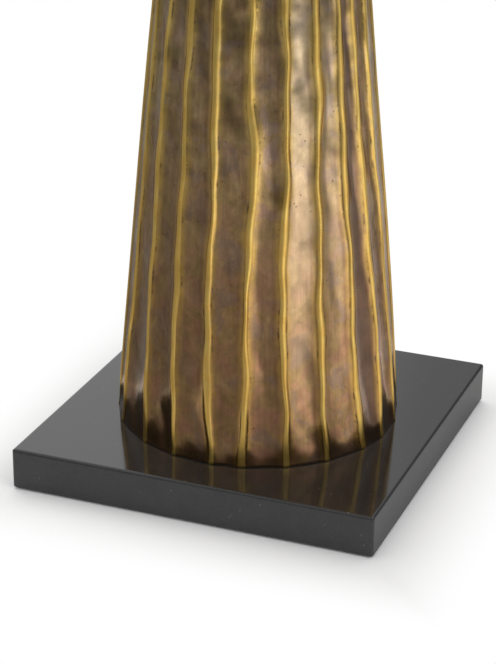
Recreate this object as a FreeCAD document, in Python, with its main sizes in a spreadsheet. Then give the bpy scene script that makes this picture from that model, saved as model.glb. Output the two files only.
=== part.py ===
import FreeCAD, Part
import math
import os
import Sketcher

# Column table lamp: a tapered, fluted and gilded metal column on a square black granite slab,
# with a turn-knob lamp holder, a harp and a tapered cloth shade above it.
# Millimetres, +Z up, origin on the column's axis at the surface the lamp stands on.
# The column and the slab follow the photograph; everything above the column is the usual fitting.

os.makedirs("parts", exist_ok=True)
doc = FreeCAD.newDocument("column_lamp")

# ---------------------------------------------------------------------------------------------
# Driving sizes. Each is written once, here, and goes to the sheet as a plain number.
# ---------------------------------------------------------------------------------------------
SIZES = {
    # stone slab
    "slab_side": 260.0,
    "slab_thick": 29.0,
    "slab_corner": 2.0,
    "slab_arris": 2.0,
    "slab_bevel": 1.0,
    "felt_thick": 1.0,
    "felt_inset": 5.0,
    "recess_radius": 25.0,
    "recess_depth": 18.0,
    # cord outlet in the slab's back edge
    "outlet_height": 8.0,
    "outlet_radius": 4.5,
    "outlet_flange": 7.0,
    "flange_thick": 2.0,
    "bush_bore": 3.5,
    "bush_length": 14.0,
    # clamping rod and its hardware
    "rod_radius": 5.0,
    "rod_bore": 3.5,
    "rod_tail": 1.0,
    "rod_grip": 8.0,
    "washer_radius": 18.0,
    "washer_thick": 2.0,
    "nut_radius": 9.8,
    "nut_thick": 6.0,
    # fluted column
    "column_height": 480.0,
    "foot_radius": 99.8,
    "crown_radius": 52.3,
    "column_belly": 1.95,
    "column_wall": 2.0,
    "rib_width": 5.6,
    "rib_rise": 1.4,
    "flute_depth": 2.2,
    "plate_thick": 3.0,
    # cap and neck
    "cap_overhang": 1.6,
    "cap_rim": 4.0,
    "cap_height": 10.0,
    "lip_depth": 6.0,
    "lip_wall": 2.0,
    "neck_radius": 14.0,
    "neck_waist": 8.6,
    "neck_height": 32.0,
    # harp and its saddle
    "saddle_width": 13.0,
    "saddle_thick": 1.6,
    "saddle_end": 5.5,
    "wire_radius": 1.9,
    "harp_foot": 36.0,
    "harp_half": 57.0,
    "harp_height": 258.0,
    "harp_joint": 11.0,
    "ferrule_radius": 4.2,
    "ferrule_length": 20.0,
    "ferrule_lift": 0.3,
    "stud_radius": 3.1,
    "stud_length": 20.0,
    "stud_flange": 9.0,
    "stud_seat": 2.5,
    # lamp holder
    "holder_radius": 17.0,
    "holder_wall": 0.8,
    "holder_height": 46.0,
    "boss_radius": 8.5,
    "holder_seat": 14.0,
    "cap_skirt": 8.0,
    "block_height": 24.0,
    "liner_wall": 1.2,
    "screw_radius": 14.0,
    "screw_wall": 0.6,
    "screw_height": 20.0,
    "contact_radius": 4.0,
    "contact_thick": 1.2,
    "spindle_radius": 2.0,
    "spindle_height": 15.0,
    "spindle_reach": 28.0,
    "spindle_depth": 9.0,
    "knob_radius": 5.5,
    "knob_length": 13.0,
    "knob_grip": 8.0,
    # lamp bulb
    "bulb_contact": 1.5,
    "bulb_insulator": 3.3,
    "bulb_cap_radius": 13.1,
    "bulb_cap_length": 22.0,
    "bulb_radius": 30.0,
    "bulb_throat": 30.0,
    # shade
    "shade_bottom": 225.0,
    "shade_top": 190.0,
    "shade_height": 290.0,
    "shade_wall": 1.2,
    "shade_drop": 15.0,
    "ring_height": 6.0,
    "ring_thick": 1.5,
    "ring_inset": 1.0,
    "hub_radius": 16.0,
    "hub_thick": 2.5,
    "arm_width": 8.0,
    "arm_thick": 1.6,
    "arm_bend": 150.0,
    # finial
    "finial_lift": 0.3,
    "finial_foot": 8.5,
    "finial_neck": 5.5,
    "finial_ball": 10.5,
    # clearances
    "hole_gap": 0.3,
    "seat_gap": 0.1,
    "shaft_gap": 0.08,
}

# Counts and plain ratios.
RIB_COUNT = 22
SPAN_COUNT = 6
BEAD_STEPS = 4
FLUTE_STEPS = 3
ARM_COUNT = 3
WIRE_SIDES = 8
FIRST_RIB_DEG = -74.8

# How far the hand-laid ribs of the front stray from an even spacing, in degrees, at the foot, at a
# quarter of the height and at half of it. Rib 0 is the one nearest the middle of the front.
RIB_DRIFT_DEG = {
    -4: (-2.1, 0.0, -1.8),
    -3: (2.5, -0.2, -2.1),
    -2: (3.3, -0.6, -1.5),
    -1: (3.4, -0.9, -1.4),
    0: (-0.4, 0.0, 0.4),
    1: (0.6, -1.0, 1.7),
    2: (1.2, 0.1, 1.9),
    3: (4.2, 0.2, -0.6),
    4: (1.1, -1.0, -5.7),
    5: (0.2, -4.3, -8.8),
}

sheet = doc.addObject("Spreadsheet::Sheet", "Sizes")
for row, (name, value) in enumerate(SIZES.items(), start=1):
    sheet.set(f"A{row}", name)
    sheet.set(f"B{row}", str(value))
    sheet.setAlias(f"B{row}", name)
doc.recompute()


class Length:
    """A length in millimetres that carries both its value and the sheet formula it comes from."""

    def __init__(self, value, text):
        self.value = value
        self.text = text

    def __add__(self, other):
        other = as_length(other)
        return Length(self.value + other.value, f"({self.text} + {other.text})")

    def __sub__(self, other):
        other = as_length(other)
        return Length(self.value - other.value, f"({self.text} - {other.text})")

    def __mul__(self, other):
        other = as_length(other)
        return Length(self.value * other.value, f"({self.text} * {other.text})")

    def __truediv__(self, other):
        other = as_length(other)
        return Length(self.value / other.value, f"({self.text} / {other.text})")

    def __neg__(self):
        return Length(-self.value, f"(-1 * {self.text})")


def as_length(number):
    if isinstance(number, Length):
        return number
    return Length(float(number), repr(float(number)))


def size(name):
    return Length(SIZES[name], f"Sizes.{name}")


# ---------------------------------------------------------------------------------------------
# Heights of the stack, from the felt up.
# ---------------------------------------------------------------------------------------------
slab_base = size("felt_thick")
slab_top = slab_base + size("slab_thick")
column_top = slab_top + size("column_height")
neck_base = column_top + size("cap_height")
saddle_base = neck_base + size("neck_height")
holder_base = saddle_base + size("saddle_thick")
holder_floor = holder_base + size("holder_seat")
block_top = holder_floor + size("block_height")
bulb_base = block_top + size("contact_thick")
bulb_cap_base = bulb_base + size("bulb_contact") + size("bulb_insulator")
glass_base = bulb_cap_base + size("bulb_cap_length")
harp_top = saddle_base + size("harp_height")
stud_base = harp_top + size("wire_radius") + size("seat_gap")
hub_base = stud_base + size("stud_seat")
arm_base = hub_base + size("hub_thick")
shade_rim = arm_base + size("shade_drop")
shade_base = shade_rim - size("shade_height")
washer_base = slab_base + size("recess_depth") - size("washer_thick")
nut_base = washer_base - size("nut_thick")
rod_base = nut_base - size("rod_tail")
rod_hole = size("rod_radius") + size("hole_gap")

nodes = []


# ---------------------------------------------------------------------------------------------
# Helpers: sketches whose every size is bound to the sheet.
# ---------------------------------------------------------------------------------------------
def place(thing, x=0.0, y=0.0, z=0.0, turn=None):
    """Put a piece at x, y, z and bind each coordinate to its formula."""
    rotation = turn if turn is not None else FreeCAD.Rotation()
    where = [as_length(value) for value in (x, y, z)]
    base = FreeCAD.Vector(*[item.value for item in where])
    thing.Placement = FreeCAD.Placement(base, rotation)
    for axis, item in zip("xyz", where):
        if "Sizes" in item.text:
            thing.setExpression(f"Placement.Base.{axis}", item.text)


def new_body(label):
    body = doc.addObject("PartDesign::Body", label)
    body.Label = label
    return body


def new_sketch(body, role, name):
    """A sketch lying on one of the body's own origin planes."""
    sketch = body.newObject("Sketcher::SketchObject", name)
    plane = [item for item in body.Origin.OriginFeatures if item.Role == role][0]
    sketch.AttachmentSupport = [(plane, "")]
    sketch.MapMode = "FlatFace"
    return sketch


def bind(sketch, kind, *where_and_length):
    """Add one measured constraint and tie it to its formula."""
    length = as_length(where_and_length[-1])
    index = sketch.addConstraint(Sketcher.Constraint(kind, *where_and_length[:-1], length.value))
    sketch.setExpression(f"Constraints[{index}]", length.text)


def pin(sketch, edge, point, across, up):
    """Fix one point of a sketch at its distances from the sketch's origin."""
    for kind, axis, length in (("DistanceX", -2, as_length(across)), ("DistanceY", -1, as_length(up))):
        if abs(length.value) < 1e-9:
            sketch.addConstraint(Sketcher.Constraint("PointOnObject", edge, point, axis))
        else:
            bind(sketch, kind, -1, 1, edge, point, length)


def draw_outline(sketch, corners):
    """Draw a closed outline through its corners, counter-clockwise, every corner fixed."""
    count = len(corners)
    flat = [(as_length(across), as_length(up)) for across, up in corners]
    points = [FreeCAD.Vector(across.value, up.value, 0) for across, up in flat]
    for index in range(count):
        sketch.addGeometry(Part.LineSegment(points[index], points[(index + 1) % count]))
    for index in range(count):
        following = (index + 1) % count
        sketch.addConstraint(Sketcher.Constraint("Coincident", index, 2, following, 1))
        pin(sketch, index, 1, flat[index][0], flat[index][1])


def curve(start, end, bow, steps):
    """Corners of a round curve from start up to end, which the next corner closes. The bow is the
    curve's height over half its chord: outwards when positive, inwards when negative.
    """
    start = [as_length(length) for length in start]
    end = [as_length(length) for length in end]
    run, rise = end[0] - start[0], end[1] - start[1]
    turn = 4 * math.atan(bow)
    chord = 2 * math.sin(turn / 2)
    corners = []
    for step in range(steps):
        angle = turn * (step / steps - 0.5)
        along = 0.5 + math.sin(angle) / chord
        aside = (math.cos(angle) - math.cos(turn / 2)) / chord
        corners.append((start[0] + run * along + rise * aside, start[1] + rise * along - run * aside))
    return corners


def draw_circle(sketch, across, up, radius):
    radius = as_length(radius)
    centre = FreeCAD.Vector(as_length(across).value, as_length(up).value, 0)
    circle = sketch.addGeometry(Part.Circle(centre, FreeCAD.Vector(0, 0, 1), radius.value))
    bind(sketch, "Radius", circle, radius)
    pin(sketch, circle, 3, across, up)


def pad_of(body, sketch, height, reverse=False, middle=False):
    pad = body.newObject("PartDesign::Pad", sketch.Name + "_pad")
    pad.Profile = sketch
    pad.Length = as_length(height).value
    pad.setExpression("Length", as_length(height).text)
    pad.Reversed = reverse
    pad.Midplane = middle
    sketch.Visibility = False
    return pad


def turned(label, corners, x=0.0, y=0.0, z=0.0, turn=None, node=True):
    """A piece turned on a lathe: an outline of radius and height, revolved round its own Z axis."""
    body = new_body(label)
    sketch = new_sketch(body, "XZ_Plane", label + "_outline")
    draw_outline(sketch, corners)
    whole = body.newObject("PartDesign::Revolution", label + "_turning")
    whole.Profile = sketch
    whole.ReferenceAxis = (sketch, ["V_Axis"])
    whole.Angle = 360.0
    place(body, x, y, z, turn)
    if node:
        nodes.append(body)
    return body


def tube(label, bore, radius, length, x=0.0, y=0.0, z=0.0, turn=None):
    """A plain tube, washer or rod: a turned piece with a rectangular outline."""
    return turned(label, [(bore, 0), (radius, 0), (radius, length), (bore, length)], x, y, z, turn)


def drilled(label, body, radius, depth, x=0.0, y=0.0, z=0.0, turn=None):
    """Take a round hole out of a finished body and keep the result as the piece."""
    drill = doc.addObject("Part::Cylinder", label + "_drill")
    drill.setExpression("Radius", as_length(radius).text)
    drill.setExpression("Height", as_length(depth).text)
    place(drill, x, y, z, turn)
    piece = doc.addObject("Part::Cut", label)
    piece.Base = body
    piece.Tool = drill
    piece.Label = label
    nodes.append(piece)
    return piece


def edges_of(shape, test):
    """Names of the edges of a shape that pass a test."""
    return [f"Edge{number}" for number, edge in enumerate(shape.Edges, start=1) if test(edge)]


# ---------------------------------------------------------------------------------------------
# Stone slab: square, eased edges, a round recess below for the nut, a drilled cord way to the back.
# ---------------------------------------------------------------------------------------------
half_side = size("slab_side") / 2
slab = new_body("granite_base")
slab_plan = new_sketch(slab, "XY_Plane", "slab_plan")
draw_outline(
    slab_plan,
    [(-half_side, -half_side), (half_side, -half_side), (half_side, half_side), (-half_side, half_side)],
)
draw_circle(slab_plan, 0, 0, rod_hole)
slab_pad = pad_of(slab, slab_plan, size("slab_thick"))
doc.recompute()

corner_ease = slab.newObject("PartDesign::Fillet", "slab_corners")
corner_ease.Base = (
    slab_pad,
    edges_of(
        slab_pad.Shape,
        lambda edge: len(edge.Vertexes) == 2 and edge.BoundBox.ZLength > 0.9 * SIZES["slab_thick"]
        and edge.BoundBox.XMin ** 2 > 0.2 * SIZES["slab_side"] ** 2,
    ),
)
corner_ease.Radius = SIZES["slab_corner"]
corner_ease.setExpression("Radius", size("slab_corner").text)
doc.recompute()

arris = slab.newObject("PartDesign::Fillet", "slab_arris")
arris.Base = (
    corner_ease,
    edges_of(
        corner_ease.Shape,
        lambda edge: edge.BoundBox.ZMin > 0.99 * SIZES["slab_thick"]
        and edge.BoundBox.Center.Length > 0.4 * SIZES["slab_side"],
    ),
)
arris.Radius = SIZES["slab_arris"]
arris.setExpression("Radius", size("slab_arris").text)
doc.recompute()

bevel = slab.newObject("PartDesign::Chamfer", "slab_bevel")
bevel.Base = (
    arris,
    edges_of(
        arris.Shape,
        lambda edge: edge.BoundBox.ZMax < 0.01 and edge.BoundBox.Center.Length > 0.4 * SIZES["slab_side"],
    ),
)
bevel.Size = SIZES["slab_bevel"]
bevel.setExpression("Size", size("slab_bevel").text)
doc.recompute()

recess_plan = new_sketch(slab, "XY_Plane", "recess_plan")
draw_circle(recess_plan, 0, 0, size("recess_radius"))
recess = slab.newObject("PartDesign::Pocket", "nut_recess")
recess.Profile = recess_plan
recess.Length = SIZES["recess_depth"]
recess.setExpression("Length", size("recess_depth").text)
recess.Reversed = True
doc.recompute()

outlet_up = size("outlet_height") - slab_base
way_plan = new_sketch(slab, "YZ_Plane", "cord_way_section")
way_inner = half_side - size("flange_thick")
way_outer = half_side + 1
draw_outline(
    way_plan,
    [
        (0, outlet_up),
        (way_outer, outlet_up),
        (way_outer, outlet_up + size("outlet_flange") + size("seat_gap")),
        (way_inner, outlet_up + size("outlet_flange") + size("seat_gap")),
        (way_inner, outlet_up + size("outlet_radius")),
        (0, outlet_up + size("outlet_radius")),
    ],
)
cord_way = slab.newObject("PartDesign::Groove", "cord_way")
cord_way.Profile = way_plan
cord_way.ReferenceAxis = (way_plan, ["Edge1"])
cord_way.Angle = 360.0
place(slab, z=slab_base)
nodes.append(slab)

felt_half = half_side - size("felt_inset")
felt = new_body("base_felt")
felt_plan = new_sketch(felt, "XY_Plane", "felt_plan")
draw_outline(
    felt_plan,
    [(-felt_half, -felt_half), (felt_half, -felt_half), (felt_half, felt_half), (-felt_half, felt_half)],
)
pad_of(felt, felt_plan, size("felt_thick"))
place(felt)
nodes.append(felt)

# Flanged bush that keeps the cord off the stone; its flange is let into the slab's back edge.
bush_wall = size("outlet_radius") - size("seat_gap")
towards_back = FreeCAD.Rotation(FreeCAD.Vector(1, 0, 0), -90)
bush_inner = size("bush_length") - size("flange_thick")
turned(
    "cord_bush",
    [
        (size("bush_bore"), 0),
        (bush_wall, 0),
        (bush_wall, bush_inner),
        (size("outlet_flange"), bush_inner),
        (size("outlet_flange"), size("bush_length")),
        (size("bush_bore"), size("bush_length")),
    ],
    y=half_side - size("bush_length"),
    z=size("outlet_height"),
    turn=towards_back,
)

# ---------------------------------------------------------------------------------------------
# Hollow clamping rod with its washer and nut in the recess.
# ---------------------------------------------------------------------------------------------
tube("base_washer", rod_hole, size("washer_radius"), size("washer_thick"), z=washer_base)
tube(
    "threaded_rod",
    size("rod_bore"),
    size("rod_radius"),
    holder_base + size("rod_grip") - rod_base,
    z=rod_base,
)

nut_blank = doc.addObject("Part::Prism", "nut_blank")
nut_blank.Polygon = 6
nut_blank.setExpression("Circumradius", size("nut_radius").text)
nut_blank.setExpression("Height", size("nut_thick").text)
place(nut_blank, z=nut_base)
drilled("base_nut", nut_blank, size("rod_radius") + size("seat_gap"), size("nut_thick"), z=nut_base)


# ---------------------------------------------------------------------------------------------
# Fluted column: a hollow shell lofted through scalloped outlines, each rib's crest an arc and each
# flute between two ribs a hollow arc. The ribs stray as hand-laid ones do.
# ---------------------------------------------------------------------------------------------
def crest_radius(share):
    """Radius over the ribs at a share of the column's height: a straight taper with a slight belly."""
    straight = SIZES["foot_radius"] + (SIZES["crown_radius"] - SIZES["foot_radius"]) * share
    return straight + 4 * SIZES["column_belly"] * share * (1 - share)


def flute_dip(share):
    return SIZES["flute_depth"] * crest_radius(share) / SIZES["foot_radius"]


def bore_radius(share):
    """Radius of the hollow inside, one wall below the deepest point of the flutes."""
    return crest_radius(share) - SIZES["rib_rise"] - flute_dip(share) - SIZES["column_wall"]


def drift(rib, share):
    """Degrees by which a rib strays from its even place. The ribs of the back take up what the
    front ones leave and waver in turn."""
    if rib in RIB_DRIFT_DEG:
        foot, quarter, half = RIB_DRIFT_DEG[rib]
        if share <= 0.25:
            return foot + (quarter - foot) * share / 0.25
        if share <= 0.5:
            return quarter + (half - quarter) * (share - 0.25) / 0.25
        return half * (1 - 0.6 * (share - 0.5) / 0.5)
    last, first = max(RIB_DRIFT_DEG), min(RIB_DRIFT_DEG) + RIB_COUNT
    along = (rib - last) / (first - last)
    shared = (1 - along) * drift(last, share) + along * drift(min(RIB_DRIFT_DEG), share)
    return shared + 1.6 * math.sin(math.pi * along) * math.sin(2.4 * rib + 4.0 * share)


def rib_angle(rib, share):
    pitch = 360.0 / RIB_COUNT
    return math.radians(FIRST_RIB_DEG + rib * pitch + drift(rib, share))


def fluted_outline(share):
    """The scalloped outline of the column at a share of its height: over each rib a round bead, and
    from its foot to the next rib's a shallow hollow."""
    radius = crest_radius(share)
    height = SIZES["column_height"] * share
    shoulder = radius - SIZES["rib_rise"]
    half_rib = SIZES["rib_width"] / 2 / radius
    first = min(RIB_DRIFT_DEG)
    angles = [rib_angle(rib, share) for rib in range(first, first + RIB_COUNT)]
    angles.append(angles[0] + 2 * math.pi)
    corners = []
    for here, there in zip(angles[:-1], angles[1:]):
        for step in range(BEAD_STEPS + 1):
            across = 2 * step / BEAD_STEPS - 1
            corners.append((shoulder + SIZES["rib_rise"] * math.sqrt(1 - across**2), here + half_rib * across))
        start, gap = here + half_rib, there - here - 2 * half_rib
        for step in range(1, FLUTE_STEPS):
            across = step / FLUTE_STEPS
            dip = flute_dip(share) * 4 * across * (1 - across)
            corners.append((shoulder - dip, start + gap * across))
    corners.append(corners[0])
    points = [FreeCAD.Vector(out * math.cos(turn), out * math.sin(turn), height) for out, turn in corners]
    return Part.makePolygon(points)


def hollow():
    """The space inside the column, turned round its axis, one wall inside the flutes."""
    corners = [FreeCAD.Vector(0, 0, 0)]
    for share in shares:
        corners.append(FreeCAD.Vector(bore_radius(share), 0, SIZES["column_height"] * share))
    corners += [FreeCAD.Vector(0, 0, SIZES["column_height"]), corners[0]]
    section = Part.Face(Part.makePolygon(corners))
    return section.revolve(corners[0], FreeCAD.Vector(0, 0, 1), 360)


shares = [step / SPAN_COUNT for step in range(SPAN_COUNT + 1)]
outside = Part.makeLoft([fluted_outline(share) for share in shares], True, True)
inside = hollow()
column = doc.addObject("Part::Feature", "column_shell")
column.Shape = outside.cut(inside)
column.Label = "column_shell"
place(column, z=slab_top)
nodes.append(column)

# A steel disc on the slab keeps the foot of the column centred.
first_span = SIZES["column_height"] / SPAN_COUNT
foot_slope = (bore_radius(0) - bore_radius(1 / SPAN_COUNT)) / first_span
foot_bore = size("foot_radius") - size("rib_rise") - size("flute_depth") - size("column_wall")
plate_radius = foot_bore - size("plate_thick") * foot_slope - size("seat_gap")
tube("foot_plate", rod_hole, plate_radius, size("plate_thick"), z=slab_top)

# Spun cap over the crown, its lip inside the shell, and the turned neck above it.
crown_dip = size("flute_depth") * size("crown_radius") / size("foot_radius")
crown_bore = size("crown_radius") - size("rib_rise") - crown_dip - size("column_wall")
lip_radius = crown_bore - size("seat_gap")
cap_radius = size("crown_radius") + size("cap_overhang")
turned(
    "column_cap",
    [
        (rod_hole, 0),
        (lip_radius - size("lip_wall"), 0),
        (lip_radius - size("lip_wall"), -size("lip_depth")),
        (lip_radius, -size("lip_depth")),
        (lip_radius, 0),
        (cap_radius, 0),
        *curve((cap_radius, size("cap_rim")), (size("neck_radius"), size("cap_height")), 0.12, 3),
        (size("neck_radius"), size("cap_height")),
        (rod_hole, size("cap_height")),
    ],
    z=column_top,
)

neck_foot = size("neck_height") * 0.12
neck_head = size("neck_height") * 0.88
neck_reach = size("neck_radius") * 0.82
turned(
    "column_neck",
    [
        (rod_hole, 0),
        (size("neck_radius"), 0),
        (size("neck_radius"), neck_foot),
        (neck_reach, neck_foot),
        ((size("neck_waist") * 3 + neck_reach) / 4, neck_foot * 2.2),
        (size("neck_waist"), size("neck_height") * 0.5),
        ((size("neck_waist") * 3 + neck_reach) / 4, size("neck_height") - neck_foot * 2.2),
        (neck_reach, neck_head),
        (neck_reach, size("neck_height")),
        (rod_hole, size("neck_height")),
    ],
    z=neck_base,
)

# ---------------------------------------------------------------------------------------------
# Harp: a strip saddle with two pegs, a bent wire standing on them, and a ferrule over each joint.
# ---------------------------------------------------------------------------------------------
saddle = new_body("harp_saddle")
saddle_plan = new_sketch(saddle, "XY_Plane", "saddle_plan")
saddle_half = size("harp_foot") + size("saddle_end")
saddle_side = size("saddle_width") / 2
draw_outline(
    saddle_plan,
    curve((saddle_half, -saddle_side), (saddle_half, saddle_side), 0.35, 6)
    + [(saddle_half, saddle_side)]
    + curve((-saddle_half, saddle_side), (-saddle_half, -saddle_side), 0.35, 6)
    + [(-saddle_half, -saddle_side)],
)
draw_circle(saddle_plan, 0, 0, rod_hole)
pad_of(saddle, saddle_plan, size("saddle_thick"))
peg_plan = new_sketch(saddle, "XY_Plane", "peg_plan")
for side in (-1, 1):
    draw_circle(peg_plan, size("harp_foot") * side, 0, size("wire_radius"))
pad_of(saddle, peg_plan, size("harp_joint"))
place(saddle, z=saddle_base)
nodes.append(saddle)


def bent_path(points, radii):
    """Straight runs joined by tangent arcs, one radius for each inner point."""
    edges = []
    start = points[0]
    for before, corner, after, radius in zip(points, points[1:], points[2:], radii):
        inward = (before - corner).normalize()
        outward = (after - corner).normalize()
        half_angle = inward.getAngle(outward) / 2
        reach = radius / math.tan(half_angle)
        bisector = (inward + outward).normalize()
        centre = corner + bisector * (radius / math.sin(half_angle))
        first, last = corner + inward * reach, corner + outward * reach
        edges.append(Part.LineSegment(start, first).toShape())
        edges.append(Part.Arc(first, centre - bisector * radius, last).toShape())
        start = last
    edges.append(Part.LineSegment(start, points[-1]).toShape())
    return Part.Wire(edges)


harp_rise = SIZES["harp_height"] - SIZES["harp_joint"]
half_harp = [
    (SIZES["harp_foot"], 0.0),
    (SIZES["harp_foot"], 0.18 * harp_rise),
    (SIZES["harp_half"], 0.44 * harp_rise),
    (SIZES["harp_half"], harp_rise),
]
harp_points = [FreeCAD.Vector(x, 0, z) for x, z in half_harp]
harp_points += [FreeCAD.Vector(-x, 0, z) for x, z in reversed(half_harp)]
arch_radius = SIZES["harp_half"] - SIZES["stud_flange"]
sway_radius = 0.36 * harp_rise
harp_radii = [sway_radius, sway_radius, arch_radius, arch_radius, sway_radius, sway_radius]
harp_path = bent_path(harp_points, harp_radii)
corner_turns = [2 * math.pi * (step + 0.5) / WIRE_SIDES for step in range(WIRE_SIDES + 1)]
wire_end = Part.makePolygon(
    [
        harp_points[0] + FreeCAD.Vector(math.cos(turn), math.sin(turn), 0) * SIZES["wire_radius"]
        for turn in corner_turns
    ]
)
harp = doc.addObject("Part::Feature", "harp_wire")
harp.Shape = harp_path.makePipeShell([wire_end], True, False)
harp.Label = "harp_wire"
place(harp, z=saddle_base + size("harp_joint"))
nodes.append(harp)

ferrule_bore = size("wire_radius") + size("shaft_gap")
for label, side in (("harp_ferrule_left", -1), ("harp_ferrule_right", 1)):
    tube(
        label,
        ferrule_bore,
        size("ferrule_radius"),
        size("ferrule_length"),
        x=size("harp_foot") * side,
        z=saddle_base + size("saddle_thick") + size("ferrule_lift"),
    )

# Stud brazed on the top of the harp: a round seat for the shade and a spindle for the finial.
turned(
    "harp_stud",
    [
        (0, 0),
        (size("stud_flange"), 0),
        (size("stud_flange"), size("stud_seat")),
        (size("stud_radius"), size("stud_seat")),
        (size("stud_radius"), size("stud_length")),
        (0, size("stud_length")),
    ],
    z=stud_base,
)

# ---------------------------------------------------------------------------------------------
# Lamp holder: cap, shell, insulating body with its liner, screw shell, centre contact, switch.
# ---------------------------------------------------------------------------------------------
skirt_bore = size("holder_radius") + size("seat_gap")
skirt_radius = skirt_bore + size("holder_wall")
throat = size("holder_radius") - size("boss_radius") / 2
turned(
    "holder_cap",
    [
        (rod_hole, 0),
        (size("boss_radius"), 0),
        *curve((size("boss_radius"), size("holder_seat") * 0.3), (skirt_radius, size("holder_seat")), 0.3, 3),
        (skirt_radius, size("holder_seat")),
        (skirt_radius, size("holder_seat") + size("cap_skirt")),
        (skirt_bore, size("holder_seat") + size("cap_skirt")),
        (skirt_bore, size("holder_seat")),
        (throat, size("holder_seat")),
        (throat, size("holder_seat") * 0.7),
        (rod_hole, size("holder_seat") * 0.7),
    ],
    z=holder_base,
)

spindle_up = holder_floor + size("spindle_height")
towards_front = FreeCAD.Rotation(FreeCAD.Vector(1, 0, 0), 90)
shell_bore = size("holder_radius") - size("holder_wall")
shell_blank = turned(
    "holder_shell_blank",
    [
        (shell_bore, 0),
        (size("holder_radius"), 0),
        (size("holder_radius"), size("holder_height") - size("holder_wall") * 2),
        (size("holder_radius") + size("holder_wall"), size("holder_height") - size("holder_wall")),
        (size("holder_radius") + size("holder_wall"), size("holder_height")),
        (shell_bore, size("holder_height")),
    ],
    z=holder_floor,
    node=False,
)
drilled(
    "holder_shell",
    shell_blank,
    size("spindle_radius") + size("hole_gap"),
    size("holder_radius") * 2,
    z=spindle_up,
    turn=towards_front,
)

block_radius = shell_bore - size("seat_gap")
liner_bore = block_radius - size("liner_wall")
block_blank = turned(
    "holder_insulator_blank",
    [
        (0, 0),
        (block_radius, 0),
        (block_radius, size("holder_height")),
        (liner_bore, size("holder_height")),
        (liner_bore, size("block_height")),
        (0, size("block_height")),
    ],
    z=holder_floor,
    node=False,
)
drilled(
    "holder_insulator",
    block_blank,
    size("spindle_radius") + size("shaft_gap"),
    block_radius * 2,
    y=-(block_radius - size("spindle_depth")),
    z=spindle_up,
    turn=towards_front,
)
tube(
    "holder_screw_shell",
    size("screw_radius") - size("screw_wall"),
    size("screw_radius"),
    size("screw_height"),
    z=block_top,
)
tube("holder_contact", 0, size("contact_radius"), size("contact_thick"), z=block_top)

spindle_start = block_radius - size("spindle_depth") + size("seat_gap")
tube(
    "switch_spindle",
    0,
    size("spindle_radius"),
    size("spindle_reach") - spindle_start,
    y=-spindle_start,
    z=spindle_up,
    turn=towards_front,
)
knob_bore = size("spindle_radius") + size("seat_gap")
turned(
    "switch_knob",
    [
        (knob_bore, 0),
        (size("knob_radius") * 0.8, 0),
        (size("knob_radius"), size("knob_length") * 0.35),
        (size("knob_radius"), size("knob_length") * 0.9),
        (size("knob_radius") * 0.8, size("knob_length")),
        (0, size("knob_length")),
        (0, size("knob_grip")),
        (knob_bore, size("knob_grip")),
    ],
    y=-(size("spindle_reach") - size("knob_grip")),
    z=spindle_up,
    turn=towards_front,
)

# ---------------------------------------------------------------------------------------------
# Lamp bulb: centre contact, insulator cone, metal cap and pear-shaped glass.
# ---------------------------------------------------------------------------------------------
tube("bulb_contact", 0, size("contact_radius"), size("bulb_contact"), z=bulb_base)
turned(
    "bulb_insulator",
    [
        (0, 0),
        (size("contact_radius"), 0),
        (size("bulb_cap_radius") * 0.9, size("bulb_insulator")),
        (0, size("bulb_insulator")),
    ],
    z=bulb_base + size("bulb_contact"),
)
tube("bulb_cap", 0, size("bulb_cap_radius"), size("bulb_cap_length"), z=bulb_cap_base)
GLOBE_START = math.asin(-0.4)
GLOBE_TURN = math.pi / 2 - GLOBE_START
glass_height = size("bulb_throat") + size("bulb_radius") * (1 - math.sin(GLOBE_START))
turned(
    "bulb_glass",
    [
        (0, 0),
        (size("bulb_cap_radius"), 0),
        *curve(
            (size("bulb_radius") * math.cos(GLOBE_START), size("bulb_throat")),
            (0, glass_height),
            math.tan(GLOBE_TURN / 4),
            9,
        ),
        (0, glass_height),
    ],
    z=glass_base,
)

# ---------------------------------------------------------------------------------------------
# Shade: a tapered wall with a ring inside each edge, hung from three strip arms and a hub.
# ---------------------------------------------------------------------------------------------
shade_slope = (size("shade_bottom") - size("shade_top")) / size("shade_height")
wall_bore = size("shade_bottom") - size("shade_wall")
turned(
    "shade_wall",
    [
        (wall_bore, 0),
        (size("shade_bottom"), 0),
        (size("shade_top"), size("shade_height")),
        (size("shade_top") - size("shade_wall"), size("shade_height")),
    ],
    z=shade_base,
)


def ring_outline(low):
    """Section of a flat ring lying along the inside of the shade's wall, from the height low."""
    high = low + size("ring_height")
    outer_low = wall_bore - low * shade_slope - size("seat_gap")
    outer_high = wall_bore - high * shade_slope - size("seat_gap")
    return [
        (outer_low - size("ring_thick"), low),
        (outer_low, low),
        (outer_high, high),
        (outer_high - size("ring_thick"), high),
    ]


ring_low = size("shade_height") - size("ring_inset") - size("ring_height")
top_outline = ring_outline(ring_low)
turned("shade_top_ring", top_outline, z=shade_base)
turned("shade_bottom_ring", ring_outline(size("ring_inset")), z=shade_base)

tube("spider_hub", size("stud_radius") + size("shaft_gap"), size("hub_radius"), size("hub_thick"), z=hub_base)

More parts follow.
